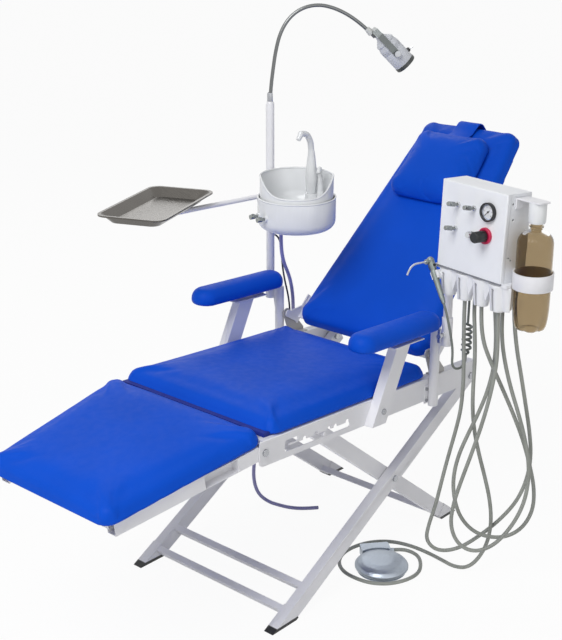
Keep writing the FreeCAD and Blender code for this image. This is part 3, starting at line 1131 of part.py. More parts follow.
# ---- write ---------------------------------------------------------------------------------
def nodes():
    plain_rail = placed(rail(), RAIL)
    lamp_rail = fuse([plain_rail, cable_grommet()])
    made = {
        "rail_far": lamp_rail, "rail_near": mirrored(plain_rail), "seat_crossbars": seat_crossbars(),
        "seat_board": placed(seat_board(), RAIL),
        "seat_cushion": seat_cushion(), "recliner_plates": both(recliner_plate()),
        "post_sockets": post_sockets(), "arm_posts": both(arm_post()), "arm_pads": both(arm_pad()),
        "chair_fasteners": group([chair_fasteners(), both(legrest_bolt())]),
        "outer_leg_frame": outer_leg_frame(), "inner_leg_frame": inner_leg_frame(),
        "outer_foot_caps": both(foot_cap(OUTER_FOOT, OUTER_ANGLE, OUTER_LEG_FACE, OUTER_LEG_T, True)),
        "inner_foot_caps": both(foot_cap(INNER_FOOT, 180 - INNER_ANGLE, INNER_LEG_FACE, INNER_LEG_T)),
        "frame_bolts": frame_bolts(), "legrest_frame": legrest_frame(),
        "legrest_cushion": legrest_cushion(), "backrest_frame": backrest_frame(),
        "backrest_cushion": backrest_cushion(), "pillow": pillow(), "lamp_pole": lamp_pole(),
        "gooseneck": gooseneck(), "lamp_body": lamp_body(), "lamp_lens": lamp_lens(),
        "lamp_switch": lamp_switch(), "tray_arm": tray_arm(), "tray": tray(),
        "cuspidor_arm": cuspidor_arm(), "cuspidor_shell": cuspidor_shell(),
        "cuspidor_bowl": cuspidor_bowl(), "cup_filler": cup_filler(),
        "valve_knob_a": valve_knob(0), "valve_knob_b": valve_knob(1), "unit_pole": unit_pole(),
        "unit_case": unit_case(), "panel_fittings": panel_fittings(), "toggle_a": toggle(0),
        "toggle_b": toggle(1), "toggle_c": toggle(2), "needle_knob": needle_knob(),
        "gauge_needle": gauge_needle(), "regulator_knob": regulator_knob(), "holder": holder(),
        "syringe_body": syringe_body(), "syringe_nozzle": syringe_nozzle(),
        "air_button": syringe_button(-1), "water_button": syringe_button(1),
        "bottle_bracket": bottle_bracket(), "bottle_cap": bottle_cap(), "bottle": bottle(),
        "pedal_base": pedal_base(), "pedal_disc": pedal_disc(),
        "hose_a": hose("hose_a", 1, HOSE_A, 195), "hose_b": hose("hose_b", 2, HOSE_B, 132),
        "hose_c": hose("hose_c", 3, HOSE_C, 163), "pedal_hose": pedal_hose(),
        "syringe_hose": syringe_hose(), "syringe_coil": syringe_coil(),
        "drain_hose": swept(points(DRAIN), DRAIN_R, "drain_hose"),
        "lamp_cable": swept(points(CABLE), CABLE_R, "lamp_cable"),
    }
    return made


def main():
    os.makedirs("parts", exist_ok=True)
    for name, shape in nodes().items():
        shape.translate(-ORIGIN)
        if not shape.isValid() or not shape.Solids:
            print(f"invalid: {name}")
        shape.exportStep(f"parts/{name}.step")


main()
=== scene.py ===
import math

import bmesh
import bpy
from mathutils import Matrix, Vector, noise


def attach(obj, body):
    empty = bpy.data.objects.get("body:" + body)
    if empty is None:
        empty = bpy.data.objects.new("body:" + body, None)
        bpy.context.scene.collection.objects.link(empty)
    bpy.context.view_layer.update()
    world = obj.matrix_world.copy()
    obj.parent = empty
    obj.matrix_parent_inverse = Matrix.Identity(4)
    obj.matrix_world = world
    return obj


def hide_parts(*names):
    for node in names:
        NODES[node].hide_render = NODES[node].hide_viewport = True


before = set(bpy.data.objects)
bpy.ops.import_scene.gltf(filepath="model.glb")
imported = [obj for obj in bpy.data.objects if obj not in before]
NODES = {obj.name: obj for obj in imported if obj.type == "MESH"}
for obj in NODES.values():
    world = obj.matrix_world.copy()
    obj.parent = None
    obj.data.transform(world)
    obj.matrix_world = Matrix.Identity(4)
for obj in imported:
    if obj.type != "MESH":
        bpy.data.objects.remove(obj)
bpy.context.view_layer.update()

# Looks of the portable dental unit. Metres, in the row frame. The chair's own working frame has its
# origin on the floor under the scissor bolt; SHIFT takes a point of it to the row frame.
SHIFT = Vector((0.1207, 0.06097, 0))
Z = Vector((0, 0, 1))


def here(x, y, z):
    """Row-frame point of a point in the working frame."""
    return Vector((x, y, z)) + SHIFT


def turn(axis, degrees):
    return Matrix.Rotation(math.radians(degrees), 4, axis)


# ---- placements shared with the CAD ------------------------------------------------------
RAIL = Matrix.Translation(here(-0.5118, 0, 0.4483)) @ turn("Y", 3.56)
LEGREST = Matrix.Translation(here(-0.508, 0, 0.497)) @ turn("Y", -8)
BACK = Matrix.Translation(here(0.128, 0, 0.530)) @ turn("Y", -43.7)
UNIT = Matrix.Translation(here(0.058, -0.2977, 0.7949)) @ turn("Z", -11.5) @ turn("Y", 2.5)
PEDAL = Matrix.Translation(here(-0.061, -0.250, 0)) @ turn("Z", 50)
BOTTLE = here(0.0612, -0.556, 0.690)
CUSPIDOR = here(0.092, 0.173, 0)
LAMP_POLE = here(0.120, 0.291, 0)


def panel(w, d, h):
    """Point of the control box: w across its face, d behind it, h above its base."""
    return UNIT @ Vector((d, -w, h))


def frame_of(origin, x, y, z):
    m = Matrix.Identity(4)
    for i, axis in enumerate((x, y, z)):
        m.col[i][:3] = axis
    m.col[3][:3] = origin
    return m


# ---- camera ------------------------------------------------------------------------------
CAMERA = Vector((-2.1834, -1.84013, 1.64855))
FORWARD = Vector((0.7053, 0.6266, -0.3318)).normalized()
LENS, SENSOR = 69.92, 36.0


def make_camera():
    right = FORWARD.cross(Z).normalized()
    up = right.cross(FORWARD)
    data = bpy.data.cameras.new("camera")
    data.lens, data.sensor_width = LENS, SENSOR
    data.clip_start, data.clip_end = 0.05, 200
    cam = bpy.data.objects.new("camera", data)
    bpy.context.scene.collection.objects.link(cam)
    cam.matrix_world = frame_of(CAMERA, right, up, -FORWARD)
    bpy.context.scene.camera = cam


# ---- materials ---------------------------------------------------------------------------
def srgb(r, g, b):
    """Linear colour of an 8-bit display colour."""
    def one(c):
        c /= 255
        return c / 12.92 if c <= 0.04045 else ((c + 0.055) / 1.055) ** 2.4
    return (one(r), one(g), one(b), 1)


class Mat:
    """Principled material with object-space procedural detail."""

    def __init__(self, name, colour, rough=0.4, metal=0.0, **sockets):
        self.mat = bpy.data.materials.new(name)
        self.mat.use_nodes = True
        self.tree = self.mat.node_tree
        self.bsdf = self.tree.nodes["Principled BSDF"]
        self.colour = colour
        self.bsdf.inputs["Base Color"].default_value = colour
        self.bsdf.inputs["Roughness"].default_value = rough
        self.bsdf.inputs["Metallic"].default_value = metal
        for key, value in sockets.items():
            self.bsdf.inputs[key.replace("_", " ")].default_value = value
        self.coords = self.node("ShaderNodeTexCoord").outputs["Object"]
        self.height = None

    def node(self, kind, **settings):
        n = self.tree.nodes.new(kind)
        for key, value in settings.items():
            setattr(n, key, value)
        return n

    def link(self, a, b):
        self.tree.links.new(a, b)

    def noise(self, scale, detail=2.0, rough=0.5, stretch=None):
        n = self.node("ShaderNodeTexNoise")
        n.inputs["Scale"].default_value = scale
        n.inputs["Detail"].default_value = detail
        n.inputs["Roughness"].default_value = rough
        source = self.coords
        if stretch:
            m = self.node("ShaderNodeMapping")
            m.inputs["Scale"].default_value = stretch
            self.link(source, m.inputs["Vector"])
            source = m.outputs["Vector"]
        self.link(source, n.inputs["Vector"])
        return n.outputs["Fac"]

    def range(self, value, low, high, start=0.3, end=0.7):
        r = self.node("ShaderNodeMapRange")
        r.inputs["From Min"].default_value, r.inputs["From Max"].default_value = start, end
        r.inputs["To Min"].default_value, r.inputs["To Max"].default_value = low, high
        self.link(value, r.inputs["Value"])
        return r.outputs["Result"]

    def tint(self, value, dark, light, start=0.3, end=0.7):
        """Base colour that varies between two multiples of the colour."""
        ramp = self.node("ShaderNodeValToRGB")
        ramp.color_ramp.elements[0].position, ramp.color_ramp.elements[1].position = start, end
        for element, k in zip(ramp.color_ramp.elements, (dark, light)):
            element.color = (*[min(1, c * k) for c in self.colour[:3]], 1)
        self.link(value, ramp.inputs["Fac"])
        self.link(ramp.outputs["Color"], self.bsdf.inputs["Base Color"])
        return self

    def gloss(self, value, low, high, start=0.3, end=0.7):
        self.link(self.range(value, low, high, start, end), self.bsdf.inputs["Roughness"])
        return self

    def bump(self, value, strength, distance):
        b = self.node("ShaderNodeBump")
        b.inputs["Strength"].default_value = strength
        b.inputs["Distance"].default_value = distance
        self.link(value, b.inputs["Height"])
        if self.height:
            self.link(self.height, b.inputs["Normal"])
        self.height = b.outputs["Normal"]
        self.link(self.height, self.bsdf.inputs["Normal"])
        return self

    def cells(self, scale, feature="DISTANCE_TO_EDGE"):
        v = self.node("ShaderNodeTexVoronoi", feature=feature)
        v.inputs["Scale"].default_value = scale
        self.link(self.coords, v.inputs["Vector"])
        return v.outputs["Distance"]


def powder_coat(name, colour, rough=0.38):
    m = Mat(name, colour, rough)
    m.tint(m.noise(7, 3), 0.95, 1.03)
    m.gloss(m.noise(40, 2), rough - 0.06, rough + 0.08)
    return m.bump(m.noise(900, 2), 0.06, 0.0006).mat


def vinyl(name, colour):
    """Smooth upholstery vinyl: fine pebble grain, dull gloss, faint shade changes."""
    m = Mat(name, colour, 0.5, Specular_IOR_Level=0.1)
    m.tint(m.noise(5, 3), 0.93, 1.05)
    m.gloss(m.noise(60, 3), 0.44, 0.56)
    m.bump(m.cells(620), 0.06, 0.0004)
    return m.bump(m.noise(18, 2), 0.03, 0.0015).mat


def moulded(name, colour, rough=0.3):
    m = Mat(name, colour, rough)
    m.tint(m.noise(12, 2), 0.97, 1.02)
    m.gloss(m.noise(90, 2), rough - 0.04, rough + 0.08)
    return m.bump(m.noise(350, 2), 0.04, 0.0005).mat


def metal(name, colour, rough, brushed=None):
    """Metal, brushed along the axis where brushed has its small scale."""
    m = Mat(name, colour, rough, 1.0)
    if brushed:
        grain = m.noise(1, 3, 0.6, stretch=brushed)
        m.gloss(grain, rough - 0.08, rough + 0.12)
        m.bump(grain, 0.05, 0.0003)
    else:
        m.gloss(m.noise(35, 3), max(0.03, rough - 0.05), rough + 0.06)
    m.tint(m.noise(9, 2), 0.93, 1.03)
    return m.mat


def soled(name, colour, sole, height):
    """Paint above a dark sole of the given height over the floor."""
    m = Mat(name, colour, 0.45)
    split = m.node("ShaderNodeSeparateXYZ")
    m.link(m.coords, split.inputs["Vector"])
    ramp = m.node("ShaderNodeMix", data_type="RGBA")
    ramp.inputs["A"].default_value, ramp.inputs["B"].default_value = sole, colour
    m.link(m.range(split.outputs["Z"], 0, 1, height - 0.0005, height + 0.0005), ramp.inputs["Factor"])
    m.link(ramp.outputs["Result"], m.bsdf.inputs["Base Color"])
    m.gloss(m.noise(40, 2), 0.4, 0.55)
    return m.bump(m.noise(900, 2), 0.06, 0.0006).mat


def rubber(name, colour, rough=0.45):
    m = Mat(name, colour, rough, Specular_IOR_Level=0.4)
    m.tint(m.noise(14, 3), 0.86, 1.1)
    m.gloss(m.noise(70, 2), rough - 0.08, rough + 0.12)
    return m.bump(m.noise(800, 2), 0.08, 0.0004).mat


SOLE_HEIGHT = 0.009
PAINT = srgb(238, 238, 242)
WHITE_PAINT = powder_coat("white_paint", PAINT)
GREY_PAINT = powder_coat("grey_paint", srgb(176, 174, 172))
CASE_PAINT = powder_coat("case_paint", srgb(242, 244, 248), 0.42)
BLUE = vinyl("blue_vinyl", srgb(8, 80, 206))
GLOSS_WHITE = moulded("gloss_white", srgb(232, 234, 236), 0.18)
HOLDER_WHITE = moulded("holder_white", srgb(240, 241, 244), 0.42)
BLACK = moulded("black_plastic", srgb(26, 28, 30), 0.38)
CHROME = metal("chrome", srgb(205, 207, 210), 0.12)
STEEL = metal("steel", srgb(176, 178, 182), 0.28, (40, 40, 900))
TRAY_STEEL = metal("tray_steel", srgb(104, 101, 97), 0.22, (900, 30, 30))
LAMP_SILVER = powder_coat("lamp_silver", srgb(206, 209, 216), 0.3)
PEDAL_ALLOY = metal("pedal_alloy", srgb(168, 176, 186), 0.38, (30, 900, 30))
SYRINGE_STEEL = metal("syringe_steel", srgb(142, 150, 146), 0.3)
HOSE_GREY = rubber("hose_grey", srgb(150, 153, 147))
COIL_GREY = rubber("coil_grey", srgb(118, 124, 119), 0.3)
CABLE_DARK = rubber("cable_dark", srgb(38, 40, 66), 0.4)
DRAIN_LILAC = rubber("drain_lilac", srgb(158, 156, 204), 0.28)
FOOT_GREY = soled("foot_cap", PAINT, srgb(22, 23, 25), SOLE_HEIGHT)
# Seat board: dark blue instead of wood, as painted shade, so that its edge between the legrest and seat pads
# reads as the shadow line under them
BOARD_SHADE_BLUE = moulded("board_painted_shade", srgb(6, 34, 132), 0.7)
TOGGLE_STEEL = metal("toggle_steel", srgb(150, 154, 152), 0.24)
ARM_STEEL = metal("arm_steel", srgb(120, 122, 122), 0.26)
FORK_GREY = metal("fork_grey", srgb(112, 116, 116), 0.34, (300, 300, 60))
MIRROR = metal("mirror", srgb(214, 216, 218), 0.08)
DIAL_WHITE = moulded("dial_white", srgb(232, 234, 238), 0.5)
DIAL_BLUE = moulded("dial_blue", srgb(168, 184, 222), 0.5)
INK = moulded("ink", srgb(30, 32, 40), 0.55)
CRIMSON = moulded("crimson", srgb(196, 26, 76), 0.34)
SEAM_GREY = moulded("seam_grey", srgb(132, 134, 142), 0.6)
RIM_DARK = moulded("rim_dark", srgb(62, 66, 66), 0.32)
PALE_NYLON = moulded("pale_nylon", srgb(206, 208, 206), 0.34)


def see_through(name, colour, ior, rough=0.03):
    """Clear moulding, faintly uneven."""
    m = Mat(name, colour, rough, Transmission_Weight=1.0, IOR=ior)
    m.tint(m.noise(14, 2), 0.96, 1.0)
    return m.bump(m.noise(60, 2), 0.05, 0.0006).mat


CLEAR = see_through("clear_cover", srgb(250, 250, 250), 1.2, 0.02)
LENS_GLASS = see_through("lens_glass", srgb(220, 226, 230), 1.45, 0.04)
BOTTLE_PLASTIC = see_through("bottle_plastic", srgb(200, 187, 164), 1.2, 0.03)

# ---- cords: routes are the CAD's own points, in the working frame ---------------------------
HOSE_R, SYRINGE_HOSE_R, DRAIN_R, CABLE_R = 0.00475, 0.003, 0.005, 0.0025
POCKETS, POCKET_D, EXIT_D = (0.026, 0.079, 0.132, 0.185), 0.022, 0.064
HOSE_TOP, HOSE_MOUTH, HOSE_DROP, HOSE_EXIT = -0.012, -0.066, -0.050, -0.016
HOSE_A = ((0.064, -0.379, 0.640), (0.069, -0.380, 0.569), (0.071, -0.381, 0.500), (0.069, -0.379, 0.435),
          (0.061, -0.370, 0.372), (0.052, -0.359, 0.307), (0.044, -0.349, 0.240), (0.036, -0.340, 0.175),
          (0.026, -0.329, 0.122), (0.021, -0.325, 0.078), (0.040, -0.349, 0.047), (0.072, -0.391, 0.056),
          (0.100, -0.436, 0.100), (0.127, -0.476, 0.150), (0.146, -0.508, 0.205), (0.155, -0.526, 0.268),
          (0.155, -0.532, 0.333), (0.145, -0.527, 0.405), (0.132, -0.518, 0.478), (0.119, -0.509, 0.550),
          (0.101, -0.503, 0.620), (0.088, -0.500, 0.688))
HOSE_B = ((0.053, -0.437, 0.640), (0.066, -0.460, 0.577), (0.081, -0.486, 0.515), (0.097, -0.510, 0.452),
          (0.113, -0.531, 0.387), (0.127, -0.546, 0.320), (0.138, -0.557, 0.255), (0.142, -0.555, 0.195),
          (0.131, -0.536, 0.144), (0.106, -0.506, 0.118), (0.078, -0.471, 0.117), (0.053, -0.440, 0.134),
          (0.034, -0.415, 0.171), (0.023, -0.402, 0.222), (0.020, -0.398, 0.277), (0.027, -0.405, 0.337),
          (0.042, -0.420, 0.394), (0.058, -0.437, 0.450), (0.073, -0.450, 0.508), (0.082, -0.457, 0.568),
          (0.086, -0.456, 0.628), (0.092, -0.446, 0.690))
HOSE_C = ((0.040, -0.488, 0.650), (0.038, -0.490, 0.599), (0.032, -0.486, 0.541), (0.024, -0.479, 0.484),
          (0.015, -0.469, 0.426), (0.004, -0.456, 0.364), (-0.009, -0.442, 0.300), (-0.020, -0.429, 0.236),
          (-0.023, -0.424, 0.175), (-0.008, -0.438, 0.122), (0.020, -0.468, 0.098), (0.052, -0.502, 0.114),
          (0.077, -0.529, 0.158), (0.095, -0.549, 0.212), (0.103, -0.558, 0.270), (0.103, -0.557, 0.335),
          (0.096, -0.545, 0.402), (0.085, -0.529, 0.466), (0.073, -0.511, 0.529), (0.066, -0.496, 0.588),
          (0.068, -0.482, 0.642), (0.080, -0.471, 0.698))
HOSE_P = ((0.090, -0.388, 0.690), (0.079, -0.401, 0.634), (0.068, -0.412, 0.574), (0.063, -0.414, 0.511),
          (0.064, -0.415, 0.450), (0.069, -0.421, 0.390), (0.078, -0.432, 0.331), (0.089, -0.445, 0.272),
          (0.099, -0.457, 0.211), (0.104, -0.463, 0.150), (0.101, -0.459, 0.092), (0.088, -0.444, 0.044),
          (0.073, -0.421, 0.013), (0.066, -0.385, 0.0050), (0.074, -0.340, 0.0049), (0.080, -0.290, 0.0050),
          (0.080, -0.240, 0.0049), (0.066, -0.190, 0.0050), (0.032, -0.152, 0.0049), (-0.018, -0.131, 0.0050),
          (-0.070, -0.130, 0.0049), (-0.112, -0.150, 0.0050), (-0.139, -0.186, 0.0049),
          (-0.145, -0.228, 0.0050), (-0.138, -0.275, 0.0049), (-0.107, -0.314, 0.0050),
          (-0.063, -0.334, 0.0049), (-0.018, -0.336, 0.0050), (0.022, -0.314, 0.0049),
          (0.049, -0.286, 0.0055), (0.053, -0.258, 0.0068), (0.0426, -0.2364, 0.009))
PEDAL_NIPPLE = Vector((0.077, -0.050, 0.009))
SYRINGE_TUBE = ((0.0315, -0.3546, 0.672), (0.0346, -0.3612, 0.640), (0.0415, -0.3637, 0.606),
                (0.0452, -0.363, 0.582), (0.0453, -0.362, 0.558), (0.056, -0.3645, 0.544),
                (0.074, -0.3688, 0.542), (0.0872, -0.37277, 0.5541))
COIL_LOW, COIL_TOP, COIL_R = (0.089, -0.372, 0.574), (0.096, -0.369, 0.652), 0.014
COIL_TURNS = 6
COIL_TAIL = ((0.0987, -0.36785, 0.682), (0.102, -0.366, 0.713))
DRAIN = ((0.098, 0.233, 0.7657), (0.099, 0.234, 0.722), (0.115, 0.238, 0.677), (0.146, 0.246, 0.634),
         (0.170, 0.256, 0.588), (0.180, 0.260, 0.540), (0.180, 0.261, 0.488), (0.173, 0.262, 0.436),
         (0.157, 0.263, 0.386), (0.133, 0.263, 0.338), (0.106, 0.262, 0.292), (0.077, 0.261, 0.246),
         (0.048, 0.259, 0.200), (0.022, 0.256, 0.154), (0.003, 0.251, 0.108), (-0.005, 0.244, 0.064),
         (0.000, 0.232, 0.026), (0.012, 0.205, 0.006), (0.018, 0.170, 0.0052), (0.028, 0.134, 0.0051),
         (0.050, 0.102, 0.0052), (0.080, 0.078, 0.0051))
CABLE = ((0.1363, 0.28852, 0.7421), (0.1465, 0.2868, 0.7357), (0.153, 0.283, 0.716), (0.153, 0.279, 0.686),
         (0.150, 0.274, 0.652), (0.152, 0.267, 0.612), (0.158, 0.260, 0.572), (0.161, 0.256, 0.532),
         (0.160, 0.256, 0.496), (0.155, 0.258, 0.466), (0.151, 0.257, 0.4455), (0.1502, 0.2493, 0.4365))

SYR_LENGTH = 0.1036
SYR_HEAD, SYR_TAIL = panel(-0.008, -0.012, 0.004), panel(0.045, -0.012, -0.085)


def syringe_frame():
    z = (SYR_HEAD - SYR_TAIL).normalized()
    x = (UNIT.to_3x3() @ Vector((1, 0, 0)))
    return frame_of(SYR_HEAD, x, z.cross(x), z)


SYR = syringe_frame()


def route(points):
    return [here(*p) for p in points]


def cord_curve(name, points, radius, material, body, steps=8):
    curve = bpy.data.curves.new(name, "CURVE")
    curve.dimensions = "3D"
    curve.bevel_depth, curve.bevel_resolution, curve.use_fill_caps = radius, 5, True
    spline = curve.splines.new("NURBS")
    spline.points.add(len(points) - 1)
    for point, p in zip(spline.points, points):
        point.co = (*p, 1)
    spline.order_u = 3
    spline.use_endpoint_u = True
    spline.resolution_u = steps
    curve.materials.append(material)
    piece = bpy.data.objects.new(name, curve)
    bpy.context.scene.collection.objects.link(piece)
    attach(piece, body)
    return piece


def coil_points():
    """Helix about the coil's axis, drawn in at both ends so that it runs into the tube."""
    low, top = here(*COIL_LOW), here(*COIL_TOP)
    axis = (top - low).normalized()
    side = axis.cross(Vector((0, 1, 0))).normalized()
    other = axis.cross(side)
    steps = COIL_TURNS * 14
    points = []
    for k in range(steps + 1):
        t = k / steps
        draw = min(1, t * 9, (1 - t) * 9)
        r = (COIL_R - SYRINGE_HOSE_R) * draw * (1.0 - 0.12 * t)
        a = 2 * math.pi * COIL_TURNS * t
        points.append(low.lerp(top, t) + side * (r * math.cos(a)) + other * (r * math.sin(a)))
    return points


def make_cords():
    for name, pocket, points, exit_w, length in (("hose_a", 1, HOSE_A, 0.195, 1.588),
                                                 ("hose_b", 2, HOSE_B, 0.132, 1.472),
                                                 ("hose_c", 3, HOSE_C, 0.163, 1.461)):
        w = POCKETS[pocket]
        start = [panel(w, POCKET_D, h) for h in (HOSE_TOP, HOSE_MOUTH)]
        end = [panel(exit_w, EXIT_D, h) for h in (HOSE_DROP, HOSE_EXIT)]
        piece = cord_curve("rubber_" + name, start + route(points) + end, HOSE_R, HOSE_GREY, "unit")
        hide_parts(name)
    start = [panel(0.072, EXIT_D, h) for h in (HOSE_EXIT, HOSE_DROP)]
    piece = cord_curve("rubber_pedal_hose", start + route(HOSE_P) + [PEDAL @ PEDAL_NIPPLE], HOSE_R,
                       HOSE_GREY, "unit")
    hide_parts("pedal_hose")
    tail = [SYR @ Vector((0, 0, -SYR_LENGTH)), SYR @ Vector((0, 0, -SYR_LENGTH - 0.018))]
    up = [panel(0.052, EXIT_D, -0.044), panel(0.052, EXIT_D, HOSE_EXIT)]
    points = tail + route(SYRINGE_TUBE) + coil_points() + route(COIL_TAIL) + up
    piece = cord_curve("coiled_syringe_hose", points, SYRINGE_HOSE_R, COIL_GREY, "unit", 4)
    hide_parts("syringe_hose", "syringe_coil")
    piece = cord_curve("clear_drain_hose", route(DRAIN), DRAIN_R, DRAIN_LILAC, "chair")
    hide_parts("drain_hose")
    piece = cord_curve("dark_lamp_cable", route(CABLE), CABLE_R, CABLE_DARK, "chair")
    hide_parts("lamp_cable")


# ---- CAD nodes that stay: paint, plating and softened edges ---------------------------------
FINISH = {
    WHITE_PAINT: ("rail_near", "rail_far", "seat_crossbars", "post_sockets", "arm_posts",
                  "outer_leg_frame", "inner_leg_frame", "legrest_frame", "backrest_frame", "lamp_pole",
                  "tray_arm", "cuspidor_arm", "unit_pole", "bottle_bracket"),
    GREY_PAINT: ("recliner_plates",),
    STEEL: ("chair_fasteners", "frame_bolts"),
    TRAY_STEEL: ("tray",),
    CHROME: ("lamp_switch", "needle_knob", "syringe_nozzle"),
    TOGGLE_STEEL: ("valve_knob_a", "valve_knob_b"),
    SYRINGE_STEEL: ("syringe_body",),
    LAMP_SILVER: ("lamp_body",),
    PEDAL_ALLOY: ("pedal_disc", "pedal_base"),
    GLOSS_WHITE: ("cuspidor_shell", "cuspidor_bowl", "cup_filler", "bottle_cap"),
    HOLDER_WHITE: ("holder",),
    BLACK: ("regulator_knob", "air_button", "water_button", "gauge_needle"),
    FOOT_GREY: ("outer_foot_caps", "inner_foot_caps"),
    CASE_PAINT: ("unit_case",),
    # the seat board takes the painted-shade blue, not a wood colour
    BOARD_SHADE_BLUE: ("seat_board",),
}
SHARP = 35                  # degrees: steeper edges are softened
EDGE = {"tray": 0.0003, "gauge_needle": 0.0001, "syringe_nozzle": 0.0002}


def soften(node, width):
    """Welds the tessellated seams and rounds the sharp edges, leaving the CAD mesh as it is."""
    weld = node.modifiers.new("weld", "WELD")
    weld.merge_threshold = 0.00002
    bevel = node.modifiers.new("bevel", "BEVEL")
    bevel.width, bevel.segments, bevel.limit_method = width, 2, "ANGLE"
    bevel.angle_limit = math.radians(SHARP)
    bevel.use_clamp_overlap = True
    bevel.harden_normals = True


def finish_nodes():
    for material, names in FINISH.items():
        for name in names:
            node = NODES[name]
            node.data.materials.clear()
            node.data.materials.append(material)
            soften(node, EDGE.get(name, 0.0008))


# ---- mesh makers ---------------------------------------------------------------------------
def piece(name, bm, body, material, matrix=None, sharp=35):
    """Scene object from a bmesh, moved by matrix, smooth but for edges steeper than sharp."""
    if matrix is not None:
        bm.transform(matrix)
    bmesh.ops.recalc_face_normals(bm, faces=bm.faces)
    mesh = bpy.data.meshes.new(name)
    bm.to_mesh(mesh)
    bm.free()
    mesh.shade_smooth()
    mesh.set_sharp_from_angle(angle=math.radians(sharp))
    mesh.materials.append(material)
    obj = bpy.data.objects.new(name, mesh)
    bpy.context.scene.collection.objects.link(obj)
    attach(obj, body)
    return obj


def turned(profile, steps=40, shape=None, bm=None):
    """Surface of revolution about Z from (r, z) points; shape(angle, r, z) may change r."""
    bm = bm or bmesh.new()
    rings = []
    for r, z in profile:
        if rings and (r, z) == profile[0]:
            rings.append(rings[0])
            continue
        if r < 1e-6:
            rings.append([bm.verts.new((0, 0, z))])
            continue
        ring = []
        for k in range(steps):
            a = 2 * math.pi * k / steps
            q = shape(a, r, z) if shape else r
            ring.append(bm.verts.new((q * math.cos(a), q * math.sin(a), z)))
        rings.append(ring)
    for low, high in zip(rings, rings[1:]):
        for k in range(steps):
            j = (k + 1) % steps
            a, b = low[k % len(low)], low[j % len(low)]
            c, d = high[j % len(high)], high[k % len(high)]
            face = [v for i, v in enumerate((a, b, c, d)) if v not in (a, b, c, d)[:i]]
            if len(face) > 2:
                bm.faces.new(face)
    return bm


def facing(origin, out, up):
    """Frame with its Z along out and its Y near up."""
    z = out.normalized()
    x = up.cross(z).normalized()
    return frame_of(origin, x, z.cross(x), z)


def tube(path, radius_at, steps=16, bm=None):
    """Skin round a list of points; radius_at(k) gives the radius at each."""
    bm = bm or bmesh.new()
    side, rings = None, []
    for k, p in enumerate(path):
        ahead = (path[min(k + 1, len(path) - 1)] - path[max(k - 1, 0)]).normalized()
        if side is None:
            side = ahead.orthogonal().normalized()
        side = (side - ahead * side.dot(ahead)).normalized()
        other = ahead.cross(side)
        r = radius_at(k)
        rings.append([bm.verts.new(p + (side * math.cos(a) + other * math.sin(a)) * r)
                      for a in (2 * math.pi * i / steps for i in range(steps))])
    for low, high in zip(rings, rings[1:]):
        for i in range(steps):
            j = (i + 1) % steps
            bm.faces.new((low[i], low[j], high[j], high[i]))
    bm.faces.new(rings[0][::-1])
    bm.faces.new(rings[-1])
    return bm


# ---- upholstery ----------------------------------------------------------------------------
VOXEL_LARGE, VOXEL_SMALL = 0.006, 0.0045
PADS = {
    # name: corners in plan, corner radius, underside, top, rim radii, drop of the top, cap, voxel
    "seat_pad": (((0.038, -0.245), (0.630, -0.245), (0.630, 0.245), (0.038, 0.245)), 0.030,
                 0.0612, 0.105, 0.007, 0.026, 0.006, 0.009, VOXEL_LARGE),
    "legrest_pad": (((0.023, -0.247), (0.023, 0.247), (-0.404, 0.202), (-0.404, -0.202)), 0.034,
                    0.0004, 0.045, 0.007, 0.022, 0.006, 0.008, VOXEL_LARGE),
    "backrest_pad": (((-0.0045, -0.22), (0.7051, -0.156), (0.7051, 0.156), (-0.0045, 0.22)), 0.040,
                     -0.0412, 0.0048, 0.007, 0.021, 0.005, 0.008, VOXEL_LARGE),
    "head_pillow": (((0.420, -0.119), (0.636, -0.112), (0.636, 0.112), (0.420, 0.119)), 0.034,
                    0.0056, 0.068, 0.018, 0.030, 0.010, 0.013, VOXEL_SMALL),
    "arm_pad": (((0, -0.038), (0.320, -0.038), (0.320, 0.038), (0, 0.038)), 0.0375,
                0, 0.048, 0.011, 0.028, 0.004, 0.007, VOXEL_SMALL),
}
PINNED = 0.008          # height above the underside that the board or bracket holds


def corner_arcs(corners, radius, steps=7):
    """Corner arcs of a convex outline, as (arc centre, outward direction) pairs."""
    pairs = []
    for i, corner in enumerate(corners):
        c = Vector(corner)
        a = (Vector(corners[i - 1]) - c).normalized()
        b = (Vector(corners[(i + 1) % len(corners)]) - c).normalized()
        half = a.angle(b) / 2
        centre = c + (a + b).normalized() * (radius / math.sin(half))
        reach = radius / math.tan(half)
        first, last = (c + a * reach - centre).normalized(), (c + b * reach - centre).normalized()
        for k in range(steps + 1):
            pairs.append((centre, first.lerp(last, k / steps).normalized()))
    return pairs


def pad_form(name, corners, radius, z0, z1, rim_low, rim_top, drop):
    """Closed pad with rolled rims, its top lowered by drop so that the cover can swell."""
    pairs = corner_arcs(corners, radius)
    turns = [math.pi / 2 * k / 6 for k in range(7)]
    levels = [(rim_low * (1 - math.sin(a)), z0 + rim_low * (1 - math.cos(a))) for a in turns]
    levels += [(rim_top * (1 - math.cos(a)), z1 - drop - rim_top * (1 - math.sin(a))) for a in turns]
    bm = bmesh.new()
    rings = [[bm.verts.new((*(c + d * (radius - 0.001 - off)), z)) for c, d in pairs] for off, z in levels]
    for low, high in zip(rings, rings[1:]):
        for i in range(len(pairs)):
            j = (i + 1) % len(pairs)
            bm.faces.new((low[i], low[j], high[j], high[i]))
    bm.faces.new(rings[0][::-1])
    bm.faces.new(rings[-1])
    mesh = bpy.data.meshes.new(name)
    bm.to_mesh(mesh)
    bm.free()
    return mesh


def evaluated(obj):
    graph = bpy.context.evaluated_depsgraph_get()
    return bpy.data.meshes.new_from_object(obj.evaluated_get(graph), depsgraph=graph)


